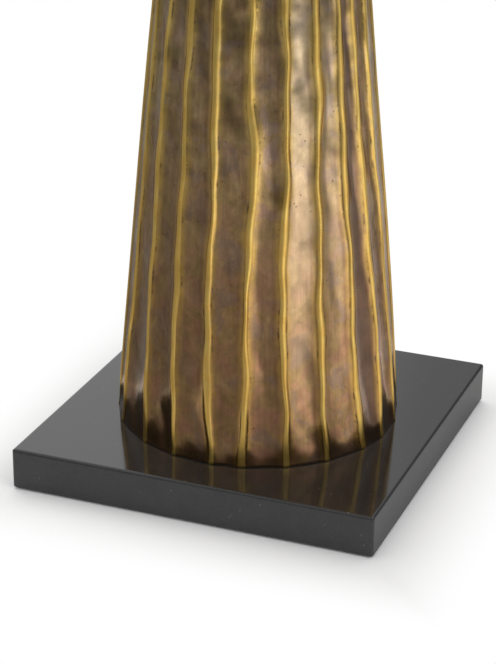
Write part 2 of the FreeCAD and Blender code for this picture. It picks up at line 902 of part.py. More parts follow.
arm_start = size("finial_foot") + size("hole_gap") * 2
arm_rise = ring_low - (arm_base - shade_base)
low_reach = top_outline[0][0] - size("seat_gap")
high_reach = top_outline[3][0] - size("seat_gap")
for number in range(1, ARM_COUNT + 1):
    label = f"spider_arm_{number}"
    arm = new_body(label)
    side_view = new_sketch(arm, "XZ_Plane", label + "_side")
    draw_outline(
        side_view,
        [
            (arm_start, 0),
            (size("arm_bend"), 0),
            (low_reach, arm_rise),
            (high_reach, arm_rise + size("ring_height")),
            (high_reach - size("arm_thick"), arm_rise + size("ring_height")),
            (low_reach - size("arm_thick"), arm_rise + size("arm_thick") * 0.6),
            (size("arm_bend") - size("arm_thick") * 0.2, size("arm_thick")),
            (arm_start, size("arm_thick")),
        ],
    )
    pad_of(arm, side_view, size("arm_width"), middle=True)
    place(arm, z=arm_base, turn=FreeCAD.Rotation(FreeCAD.Vector(0, 0, 1), 90 + 360 / ARM_COUNT * number))
    nodes.append(arm)

# ---------------------------------------------------------------------------------------------
# Finial: a foot, a neck and a ball, bored from below for the stud.
# ---------------------------------------------------------------------------------------------
BALL_START = -math.acos(0.524)
BALL_TURN = math.pi / 2 - BALL_START
finial_bore = size("stud_radius") + size("shaft_gap")
finial_depth = size("stud_length") - size("stud_seat") - size("hub_thick") + 1
neck_up = size("finial_ball") * 0.85
ball_top = neck_up + size("finial_ball") * (1 - math.sin(BALL_START))
turned(
    "finial",
    [
        (finial_bore, 0),
        (size("finial_foot"), 0),
        (size("finial_foot"), size("finial_ball") * 0.28),
        (size("finial_neck"), size("finial_ball") * 0.55),
        *curve(
            (size("finial_ball") * math.cos(BALL_START), neck_up),
            (0, ball_top),
            math.tan(BALL_TURN / 4),
            8,
        ),
        (0, ball_top),
        (0, finial_depth),
        (finial_bore, finial_depth),
    ],
    z=arm_base + size("finial_lift"),
)

# ---------------------------------------------------------------------------------------------
# Check the whole document, then write each piece.
# ---------------------------------------------------------------------------------------------
doc.recompute()
for item in doc.Objects:
    if "Invalid" in item.State or "Error" in item.State:
        raise RuntimeError(f"{item.Label} failed: {item.State}")
for node in nodes:
    if node.Shape.isNull() or not node.Shape.isValid():
        raise RuntimeError(f"{node.Label} has no valid shape")
    if len(node.Shape.Solids) != 1:
        raise RuntimeError(f"{node.Label} holds {len(node.Shape.Solids)} solids")
    node.Shape.exportStep(f"parts/{node.Label}.step")
    box = node.Shape.BoundBox
    print(f"{node.Label}: {node.Shape.Volume:.0f} mm3, z {box.ZMin:.2f} to {box.ZMax:.2f}")
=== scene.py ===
"""Column table lamp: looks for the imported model.

Blender metres, +Z up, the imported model's own frame. Lengths in this script are millimetres unless a
name ends in _M; inside materials, places are metres. Each new piece is a parametric surface worked out
as whole arrays.
"""

import math

import bpy
import numpy as np
from mathutils import Matrix, Vector


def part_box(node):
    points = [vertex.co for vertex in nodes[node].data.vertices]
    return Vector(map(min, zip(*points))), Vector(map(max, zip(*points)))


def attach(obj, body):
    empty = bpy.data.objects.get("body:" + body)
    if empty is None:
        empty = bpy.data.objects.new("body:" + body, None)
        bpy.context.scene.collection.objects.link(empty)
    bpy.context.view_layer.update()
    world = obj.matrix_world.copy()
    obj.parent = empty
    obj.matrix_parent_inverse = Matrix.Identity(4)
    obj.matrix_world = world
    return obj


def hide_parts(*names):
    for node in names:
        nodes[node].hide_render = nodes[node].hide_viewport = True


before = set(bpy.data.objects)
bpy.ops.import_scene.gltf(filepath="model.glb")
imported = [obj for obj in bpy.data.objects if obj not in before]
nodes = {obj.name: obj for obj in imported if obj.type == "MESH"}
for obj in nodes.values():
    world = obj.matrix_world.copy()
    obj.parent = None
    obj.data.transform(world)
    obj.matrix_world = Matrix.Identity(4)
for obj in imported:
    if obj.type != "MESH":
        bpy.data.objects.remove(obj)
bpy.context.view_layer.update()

MM = 0.001
TAU = 2 * math.pi


def low(node):
    """Lowest height of a CAD node."""
    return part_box(node)[0][2] / MM


def high(node):
    """Greatest height of a CAD node."""
    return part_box(node)[1][2] / MM


def reach(node):
    """Greatest radius of a round node that stands upright."""
    lowest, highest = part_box(node)
    return (highest[0] - lowest[0]) / 2 / MM


# ---------------------------------------------------------------------------------------------
# Camera: fitted to the slab's corners and the column's outline in the photograph.
# ---------------------------------------------------------------------------------------------
CAMERA_AZIMUTH = math.radians(21.16)
CAMERA_ELEVATION = math.radians(23.58)
CAMERA_ROLL = math.radians(0.507)
CAMERA_DISTANCE_M = 1.560
CAMERA_AIM_M = (-0.00697, 0.0792)
LENS_MM = 117.76

sin_az, cos_az = math.sin(CAMERA_AZIMUTH), math.cos(CAMERA_AZIMUTH)
sin_el, cos_el = math.sin(CAMERA_ELEVATION), math.cos(CAMERA_ELEVATION)
back = Vector((sin_az * cos_el, -cos_az * cos_el, sin_el))
level = Vector((cos_az, sin_az, 0))
upright = back.cross(level)
right = math.cos(CAMERA_ROLL) * level + math.sin(CAMERA_ROLL) * upright
up = math.cos(CAMERA_ROLL) * upright - math.sin(CAMERA_ROLL) * level
place = back * CAMERA_DISTANCE_M + right * CAMERA_AIM_M[0] + up * CAMERA_AIM_M[1]

camera_data = bpy.data.cameras.new("camera")
camera_data.lens = LENS_MM
camera_data.sensor_width = 36
camera_data.clip_end = 50
camera = bpy.data.objects.new("camera", camera_data)
camera.matrix_world = Matrix(
    (
        (right.x, up.x, back.x, place.x),
        (right.y, up.y, back.y, place.y),
        (right.z, up.z, back.z, place.z),
        (0, 0, 0, 1),
    )
)
bpy.context.scene.collection.objects.link(camera)
bpy.context.scene.camera = camera
bpy.context.scene.view_settings.view_transform = "Standard"


# ---------------------------------------------------------------------------------------------
# Node helpers
# ---------------------------------------------------------------------------------------------
class Graph:
    """A short way to lay out one node tree."""

    def __init__(self, tree):
        self.tree = tree

    def add(self, kind, inputs=None, **settings):
        """A node with properties set by name and inputs set by the name or number of their socket."""
        node = self.tree.nodes.new(kind)
        for key, value in settings.items():
            setattr(node, key, value)
        for socket, content in (inputs or {}).items():
            self.feed(node.inputs[socket], content)
        return node

    def feed(self, socket, content):
        if isinstance(content, bpy.types.NodeSocket):
            self.tree.links.new(content, socket)
        else:
            socket.default_value = content

    def math(self, operation, first, second=0.0, third=0.0):
        node = self.add("ShaderNodeMath", operation=operation)
        for socket, content in zip(node.inputs, (first, second, third)):
            self.feed(socket, content)
        return node.outputs[0]

    def times(self, first, second):
        return self.math("MULTIPLY", first, second)

    def line(self, value, slope, start):
        """A value times a slope, plus a start."""
        return self.math("MULTIPLY_ADD", value, slope, start)

    def parts(self, vector):
        """X, Y and Z of a vector."""
        return self.add("ShaderNodeSeparateXYZ", {"Vector": vector}).outputs

    def mask(self, name):
        """A value that the mesh carries at each of its points."""
        return self.add("ShaderNodeAttribute", attribute_name=name).outputs["Fac"]

    def laid_out(self):
        """The piece's own UV map: metres of arc and height."""
        return self.add("ShaderNodeUVMap", uv_map="around").outputs[0]

    def seen_directly(self):
        """1 for camera, glossy and transmission rays, which see the white background."""
        rays = self.add("ShaderNodeLightPath").outputs
        mirrored = self.math("MAXIMUM", rays["Is Glossy Ray"], rays["Is Transmission Ray"])
        return self.math("MAXIMUM", rays["Is Camera Ray"], mirrored)

    def noise(self, vector, scale, detail=3.0, roughness=0.55, distortion=0.0):
        settings = {
            "Vector": vector,
            "Scale": scale,
            "Detail": detail,
            "Roughness": roughness,
            "Distortion": distortion,
        }
        return self.add("ShaderNodeTexNoise", settings).outputs["Fac"]

    def stretch(self, vector, scale):
        return self.add("ShaderNodeMapping", {"Vector": vector, "Scale": scale}).outputs[0]

    def band(self, value, low_edge, high_edge, out_low=0.0, out_high=1.0):
        """A smooth step of a value between two edges."""
        settings = {
            "Value": value,
            "From Min": low_edge,
            "From Max": high_edge,
            "To Min": out_low,
            "To Max": out_high,
        }
        return self.add("ShaderNodeMapRange", settings, interpolation_type="SMOOTHSTEP").outputs[0]

    def blend(self, amount, first, second, mode="MIX"):
        node = self.add("ShaderNodeMix", data_type="RGBA", blend_type=mode)
        for number, content in ((0, amount), (6, first), (7, second)):
            self.feed(node.inputs[number], content)
        return node.outputs[2]

    def shade(self, amount, colour):
        """A colour made darker or lighter by a factor."""
        return self.blend(1.0, colour, self.grey_of(amount), "MULTIPLY")

    def grey_of(self, value):
        return self.add("ShaderNodeCombineColor", dict.fromkeys(("Red", "Green", "Blue"), value)).outputs[0]

    def ramp(self, value, stops, interpolation="EASE"):
        node = self.add("ShaderNodeValToRGB", {"Fac": value})
        node.color_ramp.interpolation = interpolation
        elements = node.color_ramp.elements
        while len(elements) < len(stops):
            elements.new(0.5)
        for element, (position, colour) in zip(elements, stops):
            element.position = position
            element.color = (*colour, 1.0) if isinstance(colour, tuple) else (colour, colour, colour, 1.0)
        return node.outputs[0]

    def group(self, tree, **inputs):
        node = self.add("ShaderNodeGroup")
        node.node_tree = tree
        for socket, content in inputs.items():
            self.feed(node.inputs[socket], content)
        return node.outputs


def new_group(name, inputs, outputs):
    """An empty shader group with float or vector sockets; returns its graph and its two end nodes."""
    tree = bpy.data.node_groups.new(name, "ShaderNodeTree")
    for direction, sockets in (("INPUT", inputs), ("OUTPUT", outputs)):
        for socket in sockets:
            kind = "NodeSocketVector" if socket == "Vector" else "NodeSocketFloat"
            tree.interface.new_socket(name=socket, in_out=direction, socket_type=kind)
    graph = Graph(tree)
    return graph, graph.add("NodeGroupInput").outputs, graph.add("NodeGroupOutput").inputs


def handling_group():
    """Traces of use, shared by every hard finish. Smudge: wide soft clouds. Grain: fine unevenness.
    Speck: rare small spots of dirt."""
    graph, given, made = new_group("handling", ("Vector", "Scale"), ("Smudge", "Grain", "Speck"))
    near = graph.noise(given["Vector"], graph.times(given["Scale"], 30.0), 4.0, 0.6, 0.5)
    graph.feed(made["Smudge"], graph.band(near, 0.33, 0.67))
    grain = graph.noise(given["Vector"], graph.times(given["Scale"], 900.0), 3.0, 0.6)
    graph.feed(made["Grain"], graph.band(grain, 0.25, 0.75))
    cells = graph.add(
        "ShaderNodeTexVoronoi",
        {"Vector": given["Vector"], "Scale": graph.times(given["Scale"], 260.0)},
    )
    spot = graph.math("LESS_THAN", cells.outputs["Distance"], 0.14)
    rare = graph.noise(given["Vector"], graph.times(given["Scale"], 75.0), 2.0)
    graph.feed(made["Speck"], graph.times(spot, graph.math("GREATER_THAN", rare, 0.60)))
    return graph.tree


def thread_group():
    """A screw thread round an upright axis: height is a triangle wave of height plus turn."""
    graph, given, made = new_group("thread", ("Vector", "Pitch"), ("Height",))
    parts = graph.parts(given["Vector"])
    turn = graph.times(graph.math("ARCTAN2", parts["Y"], parts["X"]), 1 / TAU)
    rows = graph.math("DIVIDE", parts["Z"], given["Pitch"])
    graph.feed(made["Height"], graph.math("PINGPONG", graph.math("ADD", rows, turn), 0.5))
    return graph.tree


HANDLING = handling_group()
THREAD = thread_group()


def new_material(name, **settings):
    """A material, its graph and its shader, whose plain sockets are set by name."""
    made = bpy.data.materials.new(name)
    made.use_nodes = True
    shader = made.node_tree.nodes["Principled BSDF"]
    for socket, value in settings.items():
        shader.inputs[socket.replace("_", " ")].default_value = value
    return made, Graph(made.node_tree), shader.inputs


def object_coords(graph):
    return graph.add("ShaderNodeTexCoord").outputs["Object"]


def bump(graph, shader, height, distance):
    """Fine relief: the height times a distance in millimetres."""
    settings = {"Height": height, "Distance": distance * MM, "Strength": 1.0}
    graph.feed(shader["Normal"], graph.add("ShaderNodeBump", settings).outputs[0])


# ---------------------------------------------------------------------------------------------
# Mesh helpers
# ---------------------------------------------------------------------------------------------
def to_object(name, points, faces):
    """A smooth mesh object at the origin from points in millimetres."""
    mesh = bpy.data.meshes.new(name)
    mesh.from_pydata(np.asarray(points) * MM, [], faces)
    mesh.polygons.foreach_set("use_smooth", np.ones(len(mesh.polygons), bool))
    mesh.update()
    obj = bpy.data.objects.new(name, mesh)
    bpy.context.scene.collection.objects.link(obj)
    return obj


def grid_faces(rows, columns, wrap_rows, wrap_columns):
    """Corner numbers of the quads of a grid that may close on itself either way."""
    row = np.arange(rows if wrap_rows else rows - 1)[:, None]
    column = np.arange(columns if wrap_columns else columns - 1)[None, :]
    next_row, next_column = (row + 1) % rows, (column + 1) % columns
    corners = [
        row * columns + column,
        row * columns + next_column,
        next_row * columns + next_column,
        next_row * columns + column,
    ]
    return np.stack([np.broadcast_to(c, (row.size, column.size)) for c in corners], -1).reshape(-1, 4)


def lay_uv(obj, faces, around, upward):
    """A UV map in metres of arc and height, for quads whose last column joins the first."""
    corners = np.asarray(faces).ravel()
    u, v = around.ravel()[corners].reshape(-1, 4), upward.ravel()[corners].reshape(-1, 4)
    lap = around.max() - around.min()
    lap = lap * (1 + 1 / around.shape[1])
    u = u + lap * (u < u.max(1)[:, None] - lap / 2)
    layer = obj.data.uv_layers.new(name="around")
    layer.data.foreach_set("uv", np.ascontiguousarray(np.stack([u, v], -1) * MM, np.float32).ravel())


def upright_axis(points):
    return points


def lathe(name, profile, around=96, closed=False, ripple=None, stand=upright_axis):
    """A surface of revolution: every point of the profile, a (radius, height), goes round its axis.

    An open profile starts and ends on the axis, where each end becomes one pole; a closed one joins
    its last point to its first. The solid lies to the left of the profile. A ripple gives what is
    added to the radius by angle, height and radius. A stand moves or turns the points to their place.
    """
    profile = np.asarray(profile, float)
    angle = np.linspace(0, TAU, around, endpoint=False)
    body = profile if closed else profile[1:-1]
    radius, height = body[:, :1], np.broadcast_to(body[:, 1:2], (len(body), around))
    if ripple is not None:
        radius = radius + ripple(angle[None, :], height, body[:, :1])
    radius = np.broadcast_to(radius, height.shape)
    points = np.stack([radius * np.cos(angle), radius * np.sin(angle), height], -1).reshape(-1, 3)
    faces = grid_faces(len(body), around, closed, True).tolist()
    if not closed:
        here = np.arange(around)
        after = (here + 1) % around
        first, last, top = len(points), len(points) + 1, (len(body) - 1) * around
        faces += np.stack([np.full(around, first), after, here], -1).tolist()
        faces += np.stack([np.full(around, last), top + here, top + after], -1).tolist()
        points = np.vstack([points, [[0, 0, profile[0, 1]], [0, 0, profile[-1, 1]]]])
    return to_object(name, stand(points), faces)


# A rounded corner takes at most this share of the sides that meet in it.
MOST_OF_SIDE = 0.42


def eased(points, radius, steps=4, closed=False):
    """A profile with its corners rounded off: each corner becomes a short quadratic curve."""
    points = np.asarray(points, float)
    count = len(points)
    made = []
    for index in range(count):
        corner = points[index]
        if not closed and index in (0, count - 1):
            made.append(corner)
            continue
        before, after = points[index - 1] - corner, points[(index + 1) % count] - corner
        long_before, long_after = np.linalg.norm(before), np.linalg.norm(after)
        cut = min(radius, MOST_OF_SIDE * long_before, MOST_OF_SIDE * long_after)
        start, end = corner + before / long_before * cut, corner + after / long_after * cut
        for step in range(steps + 1):
            share = step / steps
            made.append((1 - share) ** 2 * start + 2 * share * (1 - share) * corner + share**2 * end)
    return made


def arc(centre, radius, start, end, steps):
    """Points (radius, height) of a circular arc between two angles."""
    turn = np.linspace(start, end, steps)
    return [(centre[0] + radius * math.cos(t), centre[1] + radius * math.sin(t)) for t in turn]


def finish_piece(obj, body, material, replaced):
    obj.data.materials.clear()
    obj.data.materials.append(material)
    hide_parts(*replaced)
    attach(obj, body)


# ---------------------------------------------------------------------------------------------
# Fluted column
# ---------------------------------------------------------------------------------------------
RIB_COUNT = 22
PITCH_DEG = 360 / RIB_COUNT
FIRST_RIB_DEG = -74.8
FRONT_RIBS = range(-4, 6)
COLUMN_FOOT = low("column_shell")
COLUMN_HEIGHT = high("column_shell") - COLUMN_FOOT
FOOT_RADIUS = 99.8
CROWN_RADIUS = 52.3
BELLY = 1.95
RIB_RISE = 1.4
HALF_RIB = 2.4
FLUTE_DEPTH = 2.2
HOLLOW_POWER = 0.92  # below 1 the hollow is steeper at its sides and flatter in the middle
WALL = 2.0
BEAD_SAMPLES = 11
FLUTE_SAMPLES = 16
FOOT_ROWS = np.linspace(0, 18, 13)
UPPER_ROWS = np.linspace(21, COLUMN_HEIGHT, 138)
# The inner wall has only a few rings, at these row numbers of the outer wall.
INNER_ROWS = (90, 45)
# Place and width of the painted shadow line in the crease beside each rib.
CREASE_FROM_RIB = 3.2
FLANK_WIDTH, CREASE_WIDTH = 3.0, 1.5
FOOT_FLATTENING, FOOT_ZONE = 0.62, 16
FOOT_LIP, FOOT_LIP_HEIGHT = 0.5, 3.0

# Hand-made unevenness, as sines: size, height in which the sine turns by one radian, and how far the
# rib's number and the place across the flute shift its start.
RIB_SWAY = ((0.5, 13.1, 2.4, 0), (0.3, 6.3, 4.1, 0))
RIB_WIDENING = ((0.5, 31, 1.9, 0), (0.3, 12.7, 5.3, 0))
RIB_SWELL = ((0.25, 47, 3.1, 0),)
FLUTE_DENTS = ((0.30, 17.3, 2.7, 1.3), (0.22, 7.9, 5.1, 4.2), (0.16, 29, -1.7, 7.0))

# How far each rib of the front strays from its even place, in degrees, at every step up the column.
# Above the seen height each eases back by a share; the ribs of the back waver on their own.
DRIFT_STEP = 50
SEEN_HEIGHT = 250
EASED_BACK = 0.6
BACK_WAVER_DEG, BACK_WAVER_HEIGHT, BACK_WAVER_START = 1.6, 120, 2.4
RIB_DRIFT_DEG = {
    -4: (-2.5, -2.0, 0.3, 0.1, -0.9, -1.8),
    -3: (3.0, 0.7, -0.5, -0.8, -1.4, -2.1),
    -2: (3.3, 0.7, 0.0, -0.4, -0.4, -1.5),
    -1: (3.4, 1.0, -0.4, -0.2, 0.3, -1.4),
    0: (-0.4, 0.3, 0.1, 0.5, 3.0, 0.4),
    1: (0.6, 0.6, -0.8, -0.4, 1.4, 1.7),
    2: (1.2, 0.2, -0.2, 0.3, 0.3, 1.9),
    3: (4.2, 0.7, 0.6, 0.2, -1.1, -0.6),
    4: (0.5, 0.6, -0.9, -2.8, -4.1, -5.7),
    5: (0.2, -1.0, -3.0, -4.3, -8.0, -9.1),
}

# How pale (above 0) or dark (below 0) some front flutes are painted, by the rib at their left; the pale ones
# are a painted reflection of a bright softbox.
# The other flutes differ by a sine of their number.
FLUTE_REFLECTION_TONE = {-3: -0.2, -1: -0.15, 0: -0.25, 1: 0.6, 2: 0.35, 3: -0.7, 4: -0.1}
OTHER_TONE, OTHER_TONE_STEP = 0.2, 2.2


def smooth_path(where, values, step):
    """A smooth cubic through values spaced evenly by a step; it holds its last value beyond them."""
    values = np.asarray(values, float)
    position = np.clip(where / step, 0, len(values) - 1 - 1e-9)
    index = position.astype(int)
    share = position - index
    slope = np.gradient(values)
    square, cube = share**2, share**3
    return (
        (2 * cube - 3 * square + 1) * values[index]
        + (cube - 2 * square + share) * slope[index]
        + (3 * square - 2 * cube) * values[index + 1]
        + (cube - square) * slope[index + 1]
    )


def front_drift(rib, height):
    """Drift of a front rib in degrees; above what the photograph shows, the rib eases back."""
    ease = 1 - EASED_BACK * np.clip((height - SEEN_HEIGHT) / (COLUMN_HEIGHT - SEEN_HEIGHT), 0, 1)
    return smooth_path(height, RIB_DRIFT_DEG[rib], DRIFT_STEP) * ease


def rib_angle(rib, height):
    """Angle of a rib in radians at each height. The ribs of the back share out what is left."""
    if rib in FRONT_RIBS:
        drift = front_drift(rib, height)
    else:
        last, first = FRONT_RIBS[-1], FRONT_RIBS[0] + RIB_COUNT
        along = (rib - last) / (first - last)
        drift = (1 - along) * front_drift(last, height) + along * front_drift(FRONT_RIBS[0], height)
        wave = np.sin(BACK_WAVER_START * rib + height / BACK_WAVER_HEIGHT)
        drift = drift + BACK_WAVER_DEG * math.sin(math.pi * along) * wave
    return np.radians(FIRST_RIB_DEG + rib * PITCH_DEG + drift)


def crest_radius(height):
    share = height / COLUMN_HEIGHT
    return FOOT_RADIUS + (CROWN_RADIUS - FOOT_RADIUS) * share + 4 * BELLY * share * (1 - share)


def waver(tall, number, waves, across=0.0):
    """A sum of sines of height, each started by the rib's number and by the place across."""
    return sum(
        size * np.sin(tall / length + by_rib * number + by_place * across)
        for size, length, by_rib, by_place in waves
    )


def fluted_column(material):
    """The column's skin: angle from rib to rib across, height up.

    Across a rib the radius rises over a round bead whose width and height waver; between two ribs it
    sinks in a hollow about two millimetres deep, steep beside the beads and flat in the middle, with
    shallow hammer dents. At the foot beads and hollows flatten out. Both ends turn inwards and meet
    an inner wall, so the skin is closed.
    """
    heights = np.concatenate([FOOT_ROWS, UPPER_ROWS])
    radius = crest_radius(heights)
    scale = radius / FOOT_RADIUS
    ribs = list(range(FRONT_RIBS[0], FRONT_RIBS[0] + RIB_COUNT))
    centre = np.stack([rib_angle(rib, heights) for rib in ribs] + [rib_angle(ribs[0], heights) + TAU])
    number = np.arange(RIB_COUNT + 1)[:, None] % RIB_COUNT
    tall = heights[None, :]
    foot_ease = 1 - FOOT_FLATTENING * np.exp(-((tall / FOOT_ZONE) ** 2))
    centre = centre + waver(tall, number, RIB_SWAY) / radius
    half_angle = (HALF_RIB + waver(tall, number, RIB_WIDENING)) / radius
    rise = (RIB_RISE + waver(tall, number, RIB_SWELL)) * foot_ease

    turns, outs, beads, flanks, tones, creases = [], [], [], [], [], []
    for index in range(RIB_COUNT):
        across = np.linspace(-1, 1, BEAD_SAMPLES)[:, None]
        lift = rise[index] * (1 - across**2)
        turn = centre[index] + across * half_angle[index]
        turns.append(turn)
        outs.append(radius - RIB_RISE + lift)
        beads.append(np.broadcast_to(1 - across**4, turn.shape))
        flanks.append(np.ones_like(turn))
        tones.append(np.zeros_like(turn))
        creases.append(np.zeros_like(turn))
        across = np.linspace(0, 1, FLUTE_SAMPLES + 2)[1:-1, None]
        start = centre[index] + half_angle[index]
        gap = centre[index + 1] - half_angle[index + 1] - start
        edge = np.minimum(across, 1 - across) * gap * radius
        dip = FLUTE_DEPTH * scale * foot_ease * (4 * across * (1 - across)) ** HOLLOW_POWER
        dents = waver(tall, index, FLUTE_DENTS, across) * np.sin(math.pi * across)
        turns.append(start + across * gap)
        outs.append(radius - RIB_RISE - dip + dents)
        beads.append(np.zeros_like(edge))
        flanks.append(np.exp(-((edge / FLANK_WIDTH) ** 2)))
        tone = FLUTE_REFLECTION_TONE.get(ribs[index], OTHER_TONE * math.sin(OTHER_TONE_STEP * index))
        tones.append(tone * np.ones_like(edge))
        beside = (1 - across) * gap * radius - CREASE_FROM_RIB
        creases.append(np.exp(-((beside / CREASE_WIDTH) ** 2)))
    turn, out = np.vstack(turns).T, np.vstack(outs).T
    out = out + FOOT_LIP * np.exp(-heights / FOOT_LIP_HEIGHT)[:, None]
    upward = np.broadcast_to(heights[:, None], turn.shape)
    inner = radius - RIB_RISE - FLUTE_DEPTH * scale - WALL
    rows = [len(heights) - 1, *INNER_ROWS, 0]
    turn = np.vstack([turn, turn[rows]])
    out = np.vstack([out, np.broadcast_to(inner[rows, None], (len(rows), out.shape[1]))])
    upward = np.vstack([upward, upward[rows]])
    points = np.stack([out * np.cos(turn), out * np.sin(turn), upward + COLUMN_FOOT], -1)
    faces = grid_faces(*turn.shape, True, True)
    obj = to_object("fluted_column", points.reshape(-1, 3), faces.tolist())
    for name, layers in (("bead", beads), ("flank", flanks), ("tone", tones), ("crease", creases)):
        mask = np.vstack([np.vstack(layers).T, np.zeros((len(rows), turn.shape[1]))])
        attribute = obj.data.attributes.new(name, "FLOAT", "POINT")
        attribute.data.foreach_set("value", np.ascontiguousarray(mask, np.float32).ravel())
    lay_uv(obj, faces, turn * radius.mean(), upward)
    finish_piece(obj, "stand", material, ["column_shell"])


def gilt_metal():
    """Patinated, brushed and lacquered metal: brown, ochre and rosy hollows, polished gold ribs."""
    made, graph, shader = new_material("gilt_metal", Metallic=1.0, Coat_Roughness=0.10)
    coords = object_coords(graph)
    around = graph.laid_out()
    bead, flank, tone, crease = (graph.mask(name) for name in ("bead", "flank", "tone", "crease"))
    parts = graph.parts(coords)
    upward, east = parts["Z"], graph.band(parts["X"], -0.05, 0.09)
    specks = graph.group(HANDLING, Vector=coords, Scale=0.8)["Speck"]
    blotches = graph.noise(graph.stretch(around, (1.0, 0.6, 1.0)), 95.0, 5.0, 0.62, 0.6)
    hue = graph.noise(coords, 52.0, 3.0, 0.55, 0.6)
    streaks = graph.noise(graph.stretch(around, (1.0, 0.03, 1.0)), 600.0, 2.0, 0.6)
    brushed = graph.noise(graph.stretch(around, (1.0, 0.02, 1.0)), 2200.0, 2.0, 0.5)

    # Hollows: a brown to ochre ramp with olive, violet and rosy clouds, the rosy ones near the foot.
    hollow = graph.ramp(
        blotches,
        [
            (0.30, (0.28, 0.165, 0.070)),
            (0.44, (0.48, 0.315, 0.130)),
            (0.56, (0.59, 0.405, 0.185)),
            (0.72, (0.71, 0.52, 0.28)),
        ],
    )
    olive = graph.times(graph.band(hue, 0.47, 0.60), graph.line(east, -0.5, 0.75))
    hollow = graph.blend(olive, hollow, (0.49, 0.36, 0.14, 1))
    violet = graph.times(graph.band(hue, 0.50, 0.38), graph.line(east, 0.45, 0.40))
    hollow = graph.blend(violet, hollow, (0.44, 0.32, 0.26, 1))
    near_foot = graph.line(east, 0.25, graph.band(upward, 0.03, 0.26, 0.8, 0.2))
    rosy = graph.times(graph.band(graph.noise(coords, 55.0, 4.0, 0.6, 0.8), 0.44, 0.62), near_foot)
    hollow = graph.blend(rosy, hollow, (0.62, 0.345, 0.21, 1))
    hollow = graph.shade(graph.band(streaks, 0.30, 0.72, 0.90, 1.07), hollow)
    mottle = graph.noise(graph.stretch(coords, (1.0, 1.0, 0.7)), 190.0, 4.0, 0.65)
    hollow = graph.shade(graph.band(mottle, 0.32, 0.66, 0.86, 1.10), hollow)
    # Painted shade: the hollows are darker on the -X side of the column.
    hollow = graph.shade(graph.line(east, 0.14, 0.87), hollow)

    # Whole flutes that are paler or darker; on the front flutes the pale is a painted reflection of a bright
    # softbox. Beside each rib, a painted shadow line in the crease.
    # Painted reflection: the front flutes' pale cream stands for a bright softbox mirrored in the lacquer.
    pale = graph.times(tone, graph.band(upward, 0.05, 0.20, 0.20, 0.9))
    hollow = graph.blend(pale, hollow, (0.84, 0.68, 0.46, 1))
    hollow = graph.blend(graph.times(tone, -1.0), hollow, (0.30, 0.205, 0.165, 1))
    # Painted shadow: a broken dark brown line in the crease a few millimetres beside each rib.
    crease_shadow_breakup = graph.noise(graph.stretch(coords, (1.0, 1.0, 0.35)), 70.0, 3.0, 0.6)
    painted_crease_shadow = graph.times(crease, graph.band(crease_shadow_breakup, 0.36, 0.62, 0.1, 0.62))
    hollow = graph.blend(painted_crease_shadow, hollow, (0.26, 0.13, 0.07, 1))

    # Gold that thins out on the ribs' flanks; at their feet a dark line, partly painted shade in the corner
    # and partly darker patina, with specks of dirt.
    patchy = graph.noise(coords, 85.0, 4.0, 0.6)
    amber = graph.times(graph.math("POWER", flank, 1.3), graph.band(patchy, 0.30, 0.62, 0.30, 0.9))
    hollow = graph.blend(amber, hollow, (0.70, 0.47, 0.12, 1))
    foot_of_rib = graph.times(graph.band(flank, 0.80, 0.98), graph.band(bead, 0.0, 0.3, 1.0, 0.0))
    broken = graph.band(graph.noise(coords, 60.0, 4.0, 0.65), 0.52, 0.66)
    rib_foot_shade_line = graph.times(graph.times(foot_of_rib, broken), 0.75)
    specks_and_rib_foot_shade = graph.math("MAXIMUM", rib_foot_shade_line, graph.times(specks, 0.5))
    hollow = graph.blend(specks_and_rib_foot_shade, hollow, (0.11, 0.045, 0.02, 1))
    worn = graph.band(patchy, 0.36, 0.64, 0.0, 0.5)
    gold = graph.blend(worn, (1.0, 0.71, 0.20, 1), (0.93, 0.54, 0.12, 1))
    crest = graph.band(bead, 0.15, 0.90)

    # Painted shade: the metal is darker and browner towards the foot.
    painted_foot_shade = graph.ramp(
        graph.times(upward, 2.0),
        [(0.10, (0.55, 0.465, 0.39)), (0.28, (0.76, 0.66, 0.57)), (0.42, (0.87, 0.81, 0.76)), (0.60, 1.0)],
        "LINEAR",
    )
    hollow = graph.blend(1.0, hollow, painted_foot_shade, "MULTIPLY")
    gold = graph.blend(0.45, gold, painted_foot_shade, "MULTIPLY")
    graph.feed(shader["Base Color"], graph.blend(crest, hollow, gold))

    graph.feed(shader["Coat Weight"], graph.line(crest, -0.28, 0.30))
    rough = graph.band(blotches, 0.32, 0.68, 0.27, 0.18)
    rough = graph.line(graph.math("SUBTRACT", brushed, 0.5), 0.10, rough)
    graph.feed(shader["Roughness"], graph.line(crest, 0.14, rough))
    height = graph.line(brushed, 0.012, graph.noise(coords, 45.0, 1.0, 0.4))
    height = graph.line(graph.noise(coords, 110.0, 1.0, 0.4), 0.12, height)
    height = graph.line(streaks, 0.01, height)
    height = graph.line(specks_and_rib_foot_shade, -0.10, height)
    bump(graph, shader, height, 0.9)
    return made


